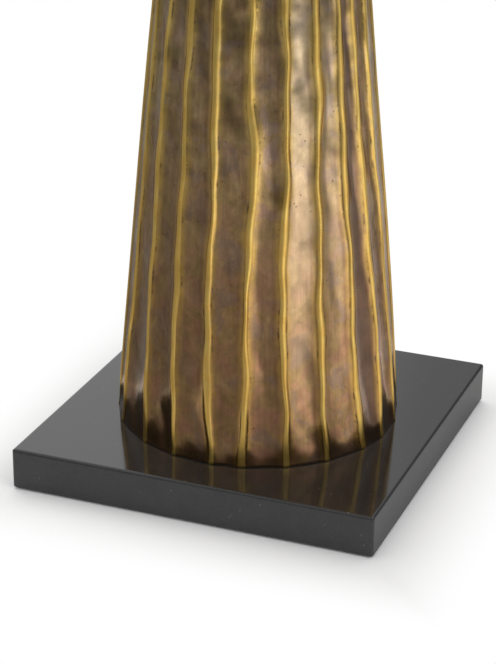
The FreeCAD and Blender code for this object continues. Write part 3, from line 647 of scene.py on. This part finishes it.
# ---------------------------------------------------------------------------------------------
# Finishes of the other pieces
# ---------------------------------------------------------------------------------------------
def granite():
    """Black stone: polished on top, honed at the edges, with fine grey grains and rare flecks."""
    made, graph, shader = new_material("granite", IOR=1.56)
    coords = object_coords(graph)
    top = high("granite_base")
    honed_from, honed_to = (top - 1.2) * MM, (top - 0.2) * MM
    honed = graph.band(graph.parts(coords)["Z"], honed_from, honed_to, 1.0, 0.0)
    traces = graph.group(HANDLING, Vector=coords, Scale=1.0)
    grain = graph.noise(coords, 900.0, 4.0, 0.7)
    cloud = graph.noise(coords, 75.0, 5.0, 0.7)
    stone = graph.ramp(grain, [(0.35, 0.008), (0.7, 0.026)], "LINEAR")
    rubbed = graph.ramp(grain, [(0.3, 0.010), (0.75, 0.033)], "LINEAR")
    rubbed = graph.shade(graph.band(cloud, 0.34, 0.66, 0.84, 1.18), rubbed)
    colour = graph.blend(honed, stone, rubbed)
    colour = graph.blend(graph.times(traces["Speck"], 0.5), colour, (0.15, 0.145, 0.14, 1))
    graph.feed(shader["Base Color"], colour)
    polish = graph.band(cloud, 0.3, 0.7, 0.06, 0.095)
    rough = graph.line(honed, 0.36, polish)
    graph.feed(shader["Roughness"], graph.line(traces["Grain"], 0.02, rough))
    pits = graph.times(graph.noise(coords, 420.0, 4.0, 0.6), honed)
    bump(graph, shader, pits, 0.12)
    return made


def metal(name, bright, dull, smooth, rough, pitch=0.0):
    """A bare or plated metal: two tones in clouds, fine brushing, specks, and a thread if asked."""
    made, graph, shader = new_material(name, Metallic=1.0)
    coords = object_coords(graph)
    traces = graph.group(HANDLING, Vector=coords, Scale=1.0)
    lines = graph.noise(graph.stretch(coords, (1.0, 1.0, 0.05)), 1500.0, 2.0, 0.5)
    colour = graph.blend(traces["Smudge"], (*bright, 1), (*dull, 1))
    colour = graph.blend(graph.times(traces["Speck"], 0.5), colour, (0.08, 0.06, 0.04, 1))
    graph.feed(shader["Base Color"], graph.shade(graph.band(lines, 0.3, 0.7, 0.93, 1.04), colour))
    gloss = graph.line(traces["Smudge"], rough - smooth, smooth)
    graph.feed(shader["Roughness"], graph.line(lines, 0.06, gloss))
    height = graph.line(lines, 0.04, graph.times(traces["Grain"], 0.03))
    if pitch:
        ridges = graph.group(THREAD, Vector=coords, Pitch=pitch * MM)["Height"]
        height = graph.line(ridges, 1.6, height)
    bump(graph, shader, height, 0.5)
    return made


def coated(name, base, other, smooth, rough, pebble=0.04):
    """A moulded, painted or rubbery finish: base colour in clouds, with fine pebbling."""
    made, graph, shader = new_material(name)
    coords = object_coords(graph)
    traces = graph.group(HANDLING, Vector=coords, Scale=1.0)
    colour = graph.blend(traces["Smudge"], (*base, 1), (*other, 1))
    colour = graph.shade(graph.line(traces["Grain"], 0.10, 0.95), colour)
    graph.feed(shader["Base Color"], colour)
    gloss = graph.line(traces["Smudge"], rough - smooth, smooth)
    graph.feed(shader["Roughness"], graph.line(traces["Grain"], 0.05, gloss))
    height = graph.line(traces["Smudge"], 0.03, graph.times(traces["Grain"], pebble))
    bump(graph, shader, height, 0.5)
    return made


def felt_cloth():
    """Pressed dark felt: matted fibres in two sizes."""
    made, graph, shader = new_material("felt", Sheen_Weight=0.4, Specular_IOR_Level=0.1)
    coords = object_coords(graph)
    fibres = graph.noise(coords, 1500.0, 4.0, 0.7, 1.5)
    mats = graph.noise(coords, 160.0, 3.0, 0.6)
    colour = graph.ramp(fibres, [(0.3, (0.016, 0.016, 0.017)), (0.7, (0.060, 0.058, 0.056))])
    graph.feed(shader["Base Color"], graph.shade(graph.band(mats, 0.3, 0.7, 0.8, 1.2), colour))
    graph.feed(shader["Roughness"], graph.band(fibres, 0.3, 0.7, 0.86, 0.98))
    bump(graph, shader, graph.line(mats, 0.5, fibres), 0.3)
    return made


THREAD_SPACING = 0.9  # from thread to thread of the shade's cloth


def linen():
    """Laminated cloth of the shade: warp and weft of uneven threads over the piece's own UV map.

    A thread is a triangle wave, made thick and thin along its run by stretched noise; the weave is
    the sum of both directions.
    """
    made, graph, shader = new_material("shade_cloth", Specular_IOR_Level=0.2, Sheen_Weight=0.15)
    around = graph.laid_out()
    parts = graph.parts(around)
    sway = graph.times(graph.noise(around, 300.0, 2.0), 0.7 * MM)
    threads = []
    for axis, stretched in (("X", (1.0, 0.03, 1.0)), ("Y", (0.03, 1.0, 1.0))):
        where = graph.math("DIVIDE", graph.math("ADD", parts[axis], sway), THREAD_SPACING * MM)
        slub = graph.band(graph.noise(graph.stretch(around, stretched), 700.0, 2.0), 0.35, 0.68)
        threads.append(graph.times(graph.math("PINGPONG", where, 0.5), graph.line(slub, 1.2, 0.5)))
    weave = graph.math("ADD", *threads)
    tone = graph.ramp(weave, [(0.15, (0.66, 0.60, 0.50)), (0.9, (0.88, 0.84, 0.755))])
    cloud = graph.band(graph.noise(object_coords(graph), 9.0, 3.0), 0.3, 0.7, 0.96, 1.03)
    graph.feed(shader["Base Color"], graph.shade(cloud, tone))
    graph.feed(shader["Roughness"], graph.band(weave, 0.1, 0.9, 0.92, 0.78))
    bump(graph, shader, weave, 0.22)
    return made


def frosted_glass():
    """Bulb glass, coated white inside: faint clouds in the coat and an uneven satin gloss."""
    made, graph, shader = new_material("bulb_glass", IOR=1.5)
    coords = object_coords(graph)
    traces = graph.group(HANDLING, Vector=coords, Scale=0.7)
    colour = graph.blend(traces["Smudge"], (0.86, 0.86, 0.84, 1), (0.82, 0.815, 0.79, 1))
    graph.feed(shader["Base Color"], colour)
    graph.feed(shader["Roughness"], graph.noise(coords, 40.0, 2.0))
    bump(graph, shader, graph.noise(coords, 90.0, 2.0), 0.02)
    return made


# ---------------------------------------------------------------------------------------------
# Round pieces of the crown, the lamp holder, the bulb and the finial
# ---------------------------------------------------------------------------------------------
ROD_HOLE = 5.3  # radius of the bore that the threaded rod runs through
BALL_STEPS = 26


def swell(start, end, waist, steps=16):
    """A waisted side between two points: radius falls to the waist and back as a cubic."""
    along = np.linspace(0, 1, steps)
    radius = waist + (start[0] - waist) * np.abs(2 * along - 1) ** 3
    return list(zip(radius, start[1] + (end[1] - start[1]) * along))


def dome(start, end, bow, steps=20):
    """A shallow curved side from one point to another, bowed outwards by a share of its length."""
    along = np.linspace(0, 1, steps)[:, None]
    first, last = np.array(start, float), np.array(end, float)
    chord = last - first
    outward = np.array([chord[1], -chord[0]])
    return (first + chord * along + outward * 2 * bow * along * (1 - along)).tolist()


def crown(brass):
    """Cap over the column, a shallow dome with a lip inside the shell, and the waisted neck above it."""
    foot, top, rim = high("column_shell"), high("column_cap"), reach("column_cap")
    lip, lip_wall, lip_deep = 47.65, 2, 6
    edge_high, edge_round, neck_seat = 4, 1.2, 14
    cap = [(ROD_HOLE, foot), (lip - lip_wall, foot), (lip - lip_wall, foot - lip_deep)]
    cap += [(lip, foot - lip_deep), (lip, foot), (rim, foot), (rim, foot + edge_high)]
    cap = eased(cap, edge_round)[:-1]
    cap += dome((rim, foot + 0.8 * edge_high), (neck_seat, top), 0.07) + [(ROD_HOLE, top)]
    piece = lathe("crown_cap", cap, 128, closed=True)
    finish_piece(piece, "stand", brass, ["column_cap"])

    start, end = low("column_neck"), high("column_neck")
    collar, collar_high = neck_seat, 3.84
    body, waist = 11.48, 8.6
    neck = [(10, start), (collar, start), (collar, start + collar_high), (12, start + collar_high)]
    neck = [(ROD_HOLE, start), *eased(neck, 0.9)[1:-1]]
    neck += swell((body, start + collar_high), (body, end - collar_high), waist)
    neck += eased([(body, end - 3), (body, end), (8, end)], 0.7)[1:-1] + [(ROD_HOLE, end)]
    piece = lathe("crown_neck", neck, 72, closed=True)
    finish_piece(piece, "stand", brass, ["column_neck"])


def lamp_holder(brass, brown):
    """Spun cap, beaded shell and fluted switch knob of the lamp holder.

    The cap's side is a bowed dome. Two bell curves of height make the shell's beads, and a cosine
    of angle the knob's flutes.
    """
    floor, seat = low("holder_cap"), low("holder_shell")
    skirt, brim = reach("holder_cap"), high("holder_cap")
    collar, deep = 8.5, 4.2
    shell_room, inner_room = 17.1, 12.75
    cap = [(ROD_HOLE, floor), *eased([(7, floor), (collar, floor), (collar, floor + deep)], 0.8)[1:-1]]
    cap += dome((collar, floor + deep), (skirt, seat), 0.22)
    cap += [(skirt, brim - 0.5), (skirt - 0.3, brim), (shell_room, brim), (shell_room, seat)]
    cap += [(inner_room, seat), (inner_room, seat - deep), (ROD_HOLE, seat - deep)]
    finish_piece(lathe("holder_bell", cap, 72, closed=True), "stand", brass, ["holder_cap"])

    top, bore, wall = high("holder_shell"), 16.2, 17
    bead_rise, bead_wide = 0.45, 1.1
    rows = np.linspace(seat, top - 1.6, 48)
    side = wall + sum(bead_rise * np.exp(-(((rows - seat - up) / bead_wide) ** 2)) for up in (31, 35))
    shell = [(bore, seat), *zip(side, rows), (wall + 0.8, top - 0.8), (wall + 0.6, top - 0.1)]
    shell += [(bore + 0.3, top), (bore, top - 0.4)]
    finish_piece(lathe("holder_can", shell, 72, closed=True), "stand", brass, ["holder_shell"])

    axis_up = (low("switch_knob") + high("switch_knob")) / 2
    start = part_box("switch_knob")[1][1] / MM
    spindle_bore, bore_deep, grip_radius = 2.1, 8, 5.5
    flutes, flute_deep, flute_low, flute_high = 20, 0.45, 3.5, 12.0
    knob = [(0, bore_deep), (spindle_bore, bore_deep), (spindle_bore, 0), (4.4, 0), (grip_radius - 0.1, 4.2)]
    knob += [(grip_radius, 5), (grip_radius, 11.4), (4.6, 12.8), (0, 13)]

    def grip(angle, height, radius):
        """Flutes pressed in round the grip, none on the ends and in the bore."""
        within = np.clip((height - flute_low) / 1.0, 0, 1) * np.clip((flute_high - height) / 0.8, 0, 1)
        return -flute_deep * within * (radius > 4) * (0.5 - 0.5 * np.cos(flutes * angle))

    def to_front(points):
        """Turns the knob's axis to the front, -Y, and sets it at the spindle."""
        return np.stack([points[:, 0], start - points[:, 2], axis_up + points[:, 1]], -1)

    piece = lathe("switch_grip", eased(knob, 0.6, 3), 120, ripple=grip, stand=to_front)
    finish_piece(piece, "switch", brown, ["switch_knob"])


def bulb(glass, contact):
    """Screw cap with a rolled thread, and a pear-shaped glass that swells into a ball.

    The thread is a cosine of height less angle. The glass leaves the cap steeply and meets the ball
    along its tangent, on a cubic with set ends and slopes.
    """
    base, top = low("bulb_cap"), high("bulb_cap")
    radius, pitch, thread_deep = reach("bulb_cap"), 3.6, 0.62
    rows = np.linspace(base + 0.6, top - 0.3, 66)
    cap = [(0, base), (radius - 1.0, base), *[(radius, row) for row in rows], (radius - 0.4, top), (0, top)]

    def thread(angle, height, out):
        """Rolled thread; it fades out below the plain collar."""
        fade = np.clip((height - base - 1.0) / 2, 0, 1) * np.clip((top - 4.5 - height) / 1.5, 0, 1)
        wave = 0.5 - 0.5 * np.cos(TAU * height / pitch - angle)
        return -thread_deep * fade * (out > radius - 0.1) * wave

    finish_piece(lathe("bulb_screw", cap, 90, ripple=thread), "bulb", contact, ["bulb_cap"])
    ball = reach("bulb_glass")
    centre = high("bulb_glass") - ball
    meet = math.asin(-0.4)
    share = np.linspace(0, 1, 14)[:-1]
    start, end = np.array([radius, top]), np.array([ball * math.cos(meet), centre + ball * math.sin(meet)])
    leave, arrive = np.array([1.0, 26.0]), np.array([0.4, math.cos(meet)]) * 30
    throat = (
        np.outer(2 * share**3 - 3 * share**2 + 1, start)
        + np.outer(share**3 - 2 * share**2 + share, leave)
        + np.outer(3 * share**2 - 2 * share**3, end)
        + np.outer(share**3 - share**2, arrive)
    )
    profile = [(0, top), *throat.tolist(), *arc((0, centre), ball, meet, math.pi / 2 - 0.03, BALL_STEPS)]
    profile.append((0, centre + ball))
    finish_piece(lathe("bulb_globe", profile, 96), "bulb", glass, ["bulb_glass"])


def harp(brass):
    """Bent wire of the bow: a circle carried along straight runs and tangent arcs in one upright plane."""
    foot, rise, radius = low("harp_wire"), 247.0, 1.9
    foot_out, bow_out = 36.0, 57.0
    easy_bend, top_bend = 0.36 * rise, 48.0
    half = [(foot_out, 0.0), (foot_out, 0.18 * rise), (bow_out, 0.44 * rise), (bow_out, rise)]
    bends = [easy_bend, easy_bend, top_bend, top_bend, easy_bend, easy_bend]
    corners = [np.array(p) for p in half + [(-x, z) for x, z in reversed(half)]]
    path = [corners[0][None, :]]
    for before, corner, after, bend in zip(corners, corners[1:], corners[2:], bends):
        inward = (before - corner) / np.linalg.norm(before - corner)
        outward = (after - corner) / np.linalg.norm(after - corner)
        half_angle = math.acos(float(np.clip(inward @ outward, -1, 1))) / 2
        bisector = (inward + outward) / np.linalg.norm(inward + outward)
        centre = corner + bisector * bend / math.sin(half_angle)
        first = corner + inward * bend / math.tan(half_angle) - centre
        last = corner + outward * bend / math.tan(half_angle) - centre
        sweep = math.atan2(first[0] * last[1] - first[1] * last[0], first @ last)
        turn = np.linspace(0, sweep, 22)[:, None]
        path.append(centre + first * np.cos(turn) + np.array([-first[1], first[0]]) * np.sin(turn))
    path.append(corners[-1][None, :])
    path = np.vstack(path)
    run = np.gradient(path, axis=0)
    run = run / np.linalg.norm(run, axis=1)[:, None]
    angle = np.linspace(0, TAU, 20, endpoint=False)
    side = np.stack([-run[:, 1], run[:, 0]], -1)[:, None, :] * (radius * np.cos(angle))[None, :, None]
    x, z = path[:, None, 0] + side[..., 0], path[:, None, 1] + side[..., 1]
    y = np.broadcast_to(-radius * np.sin(angle), x.shape)
    points = np.stack([x, y, z + foot], -1).reshape(-1, 3)
    faces = grid_faces(len(path), len(angle), False, True).tolist()
    here = np.arange(len(angle))
    faces += [here[::-1].tolist(), (here + (len(path) - 1) * len(angle)).tolist()]
    finish_piece(to_object("harp_bow", points, faces), "stand", brass, ["harp_wire"])


def harp_sleeve(side, brass):
    """Turned sleeve at one foot of the bow, with a groove near each end."""
    node = "harp_ferrule_" + side
    lowest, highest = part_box(node)
    middle = (lowest[0] + highest[0]) / 2 / MM
    start, end, outer = low(node), high(node), reach(node)
    bore, groove_deep, groove_in, groove_wide = 1.98, 0.25, 3.0, 0.5
    rows = np.linspace(start + 0.9, end - 0.9, 40)
    rings = outer + 0 * rows
    for groove in (start + groove_in, end - groove_in):
        rings = rings - groove_deep * np.exp(-(((rows - groove) / groove_wide) ** 2))
    sleeve = [(bore, start), (outer - 0.8, start), (outer - 0.2, start + 0.3), *zip(rings, rows)]
    sleeve += [(outer - 0.2, end - 0.3), (outer - 0.8, end), (bore, end)]

    def aside(points):
        """Moves the sleeve out to its foot of the bow."""
        return points + np.array([middle, 0, 0])

    piece = lathe("ferrule_sleeve_" + side, sleeve, 48, closed=True, stand=aside)
    finish_piece(piece, "ferrule_" + side, brass, [node])


def finial(brass):
    """Turned finial: a grooved foot, a cove on a quadratic curve and a ball, bored from below."""
    foot = low("finial")
    ball, bore, depth = 10.5, 3.18, 16.0
    disc, groove = 8.5, 8.2
    begin = -math.acos(0.524)
    centre = high("finial") - ball
    profile = [(0, foot + depth), (bore, foot + depth), (bore, foot), (disc - 0.4, foot), (disc, foot + 0.4)]
    profile += [(disc, foot + 1.1), (groove, foot + 1.35), (disc, foot + 1.6), (disc, foot + 2.6)]
    profile.append((groove, foot + 2.95))
    cove_start, corner = np.array([8.0, foot + 3.0]), np.array([5.2, foot + 4.6])
    cove_end = np.array([ball * math.cos(begin), centre + ball * math.sin(begin)])
    share = np.linspace(0.1, 0.95, 9)[:, None]
    cove = (1 - share) ** 2 * cove_start + 2 * share * (1 - share) * corner + share**2 * cove_end
    profile += cove.tolist() + arc((0, centre), ball, begin, math.pi / 2 - 0.05, BALL_STEPS)
    profile.append((0, centre + ball))
    finish_piece(lathe("finial_knob", profile, 72), "finial", brass, ["finial"])


def shade(cloth, steel):
    """Tapered wall of laminated cloth with a lapped seam at the back and a hem at each edge, its two
    wire rings and the round hub. The wall's radius falls straight with height."""
    foot, top = low("shade_wall"), high("shade_wall")
    wide, narrow = reach("shade_wall"), 190.0
    slope = (wide - narrow) / (top - foot)
    hem, proud, thick = 9.0, 0.55, 1.2
    seam_half, seam_rise = 7.0, 0.4

    def side(height, inset):
        return wide - slope * (height - foot) - inset

    rows = [foot + 0.5, foot + hem - 0.4, foot + hem, *np.linspace(foot + hem + 4, top - hem - 4, 24)]
    rows += [top - hem, top - hem + 0.4, top - 0.5]
    in_hem = [row < foot + hem - 0.2 or row > top - hem + 0.2 for row in rows]
    outer = [(side(row, 0 if hemmed else proud), row) for row, hemmed in zip(rows, in_hem)]
    profile = [(side(foot, 0.5), foot), *outer, (side(top, 0.5), top)]
    profile += [(side(row, thick), row) for row in np.linspace(top, foot, 14)]
    profile = np.array(profile)
    angle = np.linspace(0, TAU, 240, endpoint=False)

    def seam(turn, height, radius):
        """A lap at the back, where the cloth lies double; only on the outside, between the hems."""
        away = np.abs(np.angle(np.exp(1j * (turn - math.pi / 2)))) * radius
        outside = radius > side(height, 0.8 * thick)
        between = (height > foot + hem) & (height < top - hem)
        return seam_rise * outside * between * np.clip((seam_half - away) / 1.5, 0, 1)

    piece = lathe("shade_skin", profile, len(angle), closed=True, ripple=seam)
    length = np.concatenate([[0], np.cumsum(np.hypot(*np.diff(profile, axis=0).T))])
    grid = (len(profile), len(angle))
    arcs, lengths = np.broadcast_to(angle * wide, grid), np.broadcast_to(length[:, None], grid)
    lay_uv(piece, grid_faces(*grid, True, True), arcs, lengths)
    finish_piece(piece, "shade", cloth, ["shade_wall"])

    ring_high, ring_thick = 6, 1.5
    for name, start in (("shade_bottom_ring", foot + 1), ("shade_top_ring", top - 7)):
        out_low, out_high = side(start, thick + 0.1), side(start + ring_high, thick + 0.1)
        section = [(out_low - ring_thick, start), (out_low, start)]
        section += [(out_high, start + ring_high), (out_high - ring_thick, start + ring_high)]
        piece = lathe(name.replace("ring", "hoop"), eased(section, 0.4, 3, closed=True), 240, closed=True)
        finish_piece(piece, "shade", steel, [name])
    start, end, bore, hub = low("spider_hub"), high("spider_hub"), 3.18, 16
    section = eased([(bore, start), (hub, start), (hub, end), (bore, end)], 0.5, 3, closed=True)
    piece = lathe("spider_washer", section, 72, closed=True)
    finish_piece(piece, "shade", steel, ["spider_hub"])


def outlet_bush(rubber):
    """Flanged bush with rounded lips, its axis along Y at the back edge of the slab."""
    lowest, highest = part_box("cord_bush")
    start, length = lowest[1] / MM, (highest[1] - lowest[1]) / MM
    axis_up = (lowest[2] + highest[2]) / 2 / MM
    bore, sleeve, flange, flange_thick = 3.5, 4.4, 7.0, 2
    section = [(bore, 0), (sleeve, 0), (sleeve, length - flange_thick), (flange, length - flange_thick)]
    section += [(flange, length), (bore, length)]

    def to_back(points):
        """Turns the bush's axis to the back, +Y."""
        return np.stack([points[:, 0], start + points[:, 2], axis_up - points[:, 1]], -1)

    piece = lathe("outlet_grommet", eased(section, 0.7, 4, closed=True), 48, closed=True, stand=to_back)
    finish_piece(piece, "stand", rubber, ["cord_bush"])


# ---------------------------------------------------------------------------------------------
# Studio: pale floor, cards and flags that the metal shows, white background, soft lamps
# ---------------------------------------------------------------------------------------------
FLOOR_HALF = 215.0
FADE_START, FADE_END = 125.0, 200.0
WALL_RADIUS = 4000.0
# The walls stand from one of these shares of a turn to the other and are open behind the lamp.
OPEN_TO, OPEN_FROM = 0.01, 0.985
WALL_ROWS, WALL_COLUMNS = 37, 73
AMBIENT = 0.80

# Brightness of the walls by share of a turn, from behind the lamp round by the camera's left.
LOW_WALL = [
    (0.00, 0.70), (0.03, 1.5), (0.055, 0.42), (0.11, 0.29), (0.24, 0.31), (0.33, 0.40), (0.43, 0.46),
    (0.51, 0.46), (0.54, 0.62), (0.575, 1.35), (0.63, 1.65), (0.68, 1.25), (0.735, 0.42), (0.80, 0.34),
    (0.86, 0.50), (0.92, 0.60), (1.00, 0.70),
]
SKIRTING = [
    (0.00, 0.60), (0.03, 1.20), (0.055, 0.38), (0.11, 0.27), (0.24, 0.28), (0.33, 0.34), (0.40, 0.36),
    (0.51, 0.38), (0.57, 0.60), (0.63, 0.92), (0.69, 1.00), (0.74, 0.70), (0.80, 0.52), (0.85, 0.60),
    (0.92, 0.60), (1.00, 0.60),
]
HORIZON = [
    (0.00, 1.20), (0.045, 1.25), (0.075, 0.20), (0.30, 0.12), (0.45, 0.10), (0.60, 0.20), (0.72, 0.15),
    (0.90, 0.20), (0.955, 0.45), (0.98, 0.60), (1.00, 1.10),
]
CEILING = [(0.0, 1.1), (0.25, 0.95), (0.5, 0.9), (0.65, 1.2), (0.8, 1.1), (1.0, 1.1)]


def studio_floor():
    """A pale board that takes the lamp's shadow and fades into the white background at its edge."""
    side = FLOOR_HALF
    corners = [(-side, -side, 0), (side, -side, 0), (side, side, 0), (-side, side, 0)]
    floor = to_object("floor", corners, [(0, 1, 2, 3)])
    made, graph, shader = new_material("floor", Roughness=0.8, Specular_IOR_Level=0.0)
    coords = object_coords(graph)
    tone = graph.band(graph.noise(coords, 3.0), 0.3, 0.7, 0.90, 0.92)
    parts = graph.parts(coords)
    away = graph.math("MAXIMUM", *(graph.math("ABSOLUTE", parts[axis]) for axis in "XY"))
    fade = graph.times(graph.band(away, FADE_START * MM, FADE_END * MM), graph.seen_directly())
    kept = graph.math("SUBTRACT", 1.0, fade)
    graph.feed(shader["Base Color"], graph.grey_of(graph.times(tone, kept)))
    graph.feed(shader["Emission Color"], graph.grey_of(fade))
    shader["Emission Strength"].default_value = 1.0
    made.cycles.emission_sampling = "NONE"
    floor.data.materials.append(made)


def studio_walls():
    """What stands round the camera in the studio, as metal shows it: a globe of cards and flags.

    Each row is a level circle: tilt gives its height, the turn round it east and north. Only glossy
    rays see the globe. It is open behind the lamp, where the white background shows in the metal as
    well. Beside the camera stands a wide bright card to the right and dim flags to the left, with a
    duller skirting below; over the horizon the room is dark in front; the ceiling is bright.
    """
    turn = (np.linspace(OPEN_TO, OPEN_FROM, WALL_COLUMNS)[None, :] - 0.5) * TAU
    tilt = np.linspace(-math.pi / 2, math.pi / 2, WALL_ROWS)[:, None]
    east = np.sin(turn) * cos_az + np.cos(turn) * sin_az
    north = np.sin(turn) * sin_az - np.cos(turn) * cos_az
    points = np.stack([np.cos(tilt) * east, np.cos(tilt) * north, np.sin(tilt) + 0 * turn], -1)
    faces = grid_faces(WALL_ROWS, WALL_COLUMNS, False, False)
    walls = to_object("studio_walls", WALL_RADIUS * points.reshape(-1, 3), faces.tolist())
    made, graph, shader = new_material("studio_walls", Roughness=1.0, Specular_IOR_Level=0.0)
    shader["Base Color"].default_value = (0, 0, 0, 1)
    direction = graph.add("ShaderNodeVectorMath", {0: object_coords(graph)}, operation="NORMALIZE").outputs[0]
    height = graph.parts(direction)["Z"]
    along = [
        graph.add("ShaderNodeVectorMath", {0: direction, 1: axis}, operation="DOT_PRODUCT").outputs["Value"]
        for axis in ((cos_az, sin_az, 0.0), (sin_az, -cos_az, 0.0))
    ]
    bearing = graph.line(graph.math("ARCTAN2", *along), 1 / TAU, 0.5)
    light = graph.ramp(bearing, LOW_WALL, "LINEAR")
    light = graph.blend(graph.band(height, -0.20, -0.31), light, graph.ramp(bearing, SKIRTING, "LINEAR"))
    light = graph.blend(graph.band(height, -0.10, 0.02), light, graph.ramp(bearing, HORIZON, "LINEAR"))
    light = graph.blend(graph.band(height, 0.36, 0.80), light, graph.ramp(bearing, CEILING))
    graph.feed(shader["Emission Color"], light)
    shader["Emission Strength"].default_value = 1.0
    made.cycles.emission_sampling = "NONE"
    walls.data.materials.append(made)
    walls.visible_camera = False
    walls.visible_diffuse = False
    walls.visible_transmission = False
    walls.visible_shadow = False


def studio_lights():
    """A white background, an even light from all round, and two wide soft lamps."""
    world = bpy.data.worlds.new("studio")
    bpy.context.scene.world = world
    world.use_nodes = True
    graph = Graph(world.node_tree)
    background = world.node_tree.nodes["Background"].inputs
    even = (AMBIENT, AMBIENT, AMBIENT, 1)
    graph.feed(background["Color"], graph.blend(graph.seen_directly(), even, (1, 1, 1, 1)))
    background["Strength"].default_value = 1.0
    for name, source, spread_deg, power in (
        ("overhead", (-0.65, 0.80, 1.9), 45, 0.7),
        ("key", (1.7, -0.5, 1.4), 35, 0.42),
    ):
        data = bpy.data.lights.new(name, "SUN")
        data.angle = math.radians(spread_deg)
        data.energy = power
        lamp = bpy.data.objects.new(name, data)
        lamp.location = source
        lamp.visible_glossy = False
        lamp.rotation_euler = (-Vector(source)).to_track_quat("-Z", "Y").to_euler()
        bpy.context.scene.collection.objects.link(lamp)


# ---------------------------------------------------------------------------------------------
# The lamp
# ---------------------------------------------------------------------------------------------
studio_floor()
studio_walls()
studio_lights()
satin_brass = metal("brass", (0.78, 0.60, 0.30), (0.66, 0.47, 0.21), 0.22, 0.34)
harp_brass = metal("harp_brass", (0.82, 0.66, 0.36), (0.70, 0.52, 0.26), 0.16, 0.28)
zinc = metal("zinc_steel", (0.66, 0.66, 0.65), (0.52, 0.53, 0.52), 0.28, 0.42)
threaded = metal("zinc_steel_thread", (0.66, 0.66, 0.65), (0.52, 0.53, 0.52), 0.28, 0.42, pitch=1.0)
contact = metal("contact_metal", (0.80, 0.80, 0.79), (0.68, 0.68, 0.67), 0.22, 0.36)
screw_metal = metal("contact_metal_thread", (0.80, 0.80, 0.79), (0.68, 0.68, 0.67), 0.22, 0.36, pitch=3.6)
phenolic = coated("phenolic", (0.020, 0.019, 0.018), (0.030, 0.027, 0.025), 0.18, 0.32)
rubber = coated("rubber_black", (0.028, 0.028, 0.028), (0.042, 0.041, 0.040), 0.55, 0.75, pebble=0.12)
white_steel = coated("white_steel", (0.82, 0.82, 0.80), (0.78, 0.775, 0.75), 0.28, 0.42, pebble=0.06)

fluted_column(gilt_metal())
crown(satin_brass)
lamp_holder(satin_brass, phenolic)
bulb(frosted_glass(), contact)
harp(harp_brass)
for side in ("left", "right"):
    harp_sleeve(side, harp_brass)
finial(satin_brass)
shade(linen(), white_steel)
outlet_bush(rubber)

kept_nodes = {
    "granite_base": granite(),
    "base_felt": felt_cloth(),
    "base_washer": zinc,
    "base_nut": zinc,
    "threaded_rod": threaded,
    "foot_plate": zinc,
    "harp_saddle": harp_brass,
    "harp_stud": harp_brass,
    "holder_insulator": phenolic,
    "holder_screw_shell": screw_metal,
    "holder_contact": contact,
    "switch_spindle": harp_brass,
    "bulb_contact": contact,
    "bulb_insulator": phenolic,
    "spider_arm_1": white_steel,
    "spider_arm_2": white_steel,
    "spider_arm_3": white_steel,
}
for node, finish in kept_nodes.items():
    nodes[node].data.materials.clear()
    nodes[node].data.materials.append(finish)
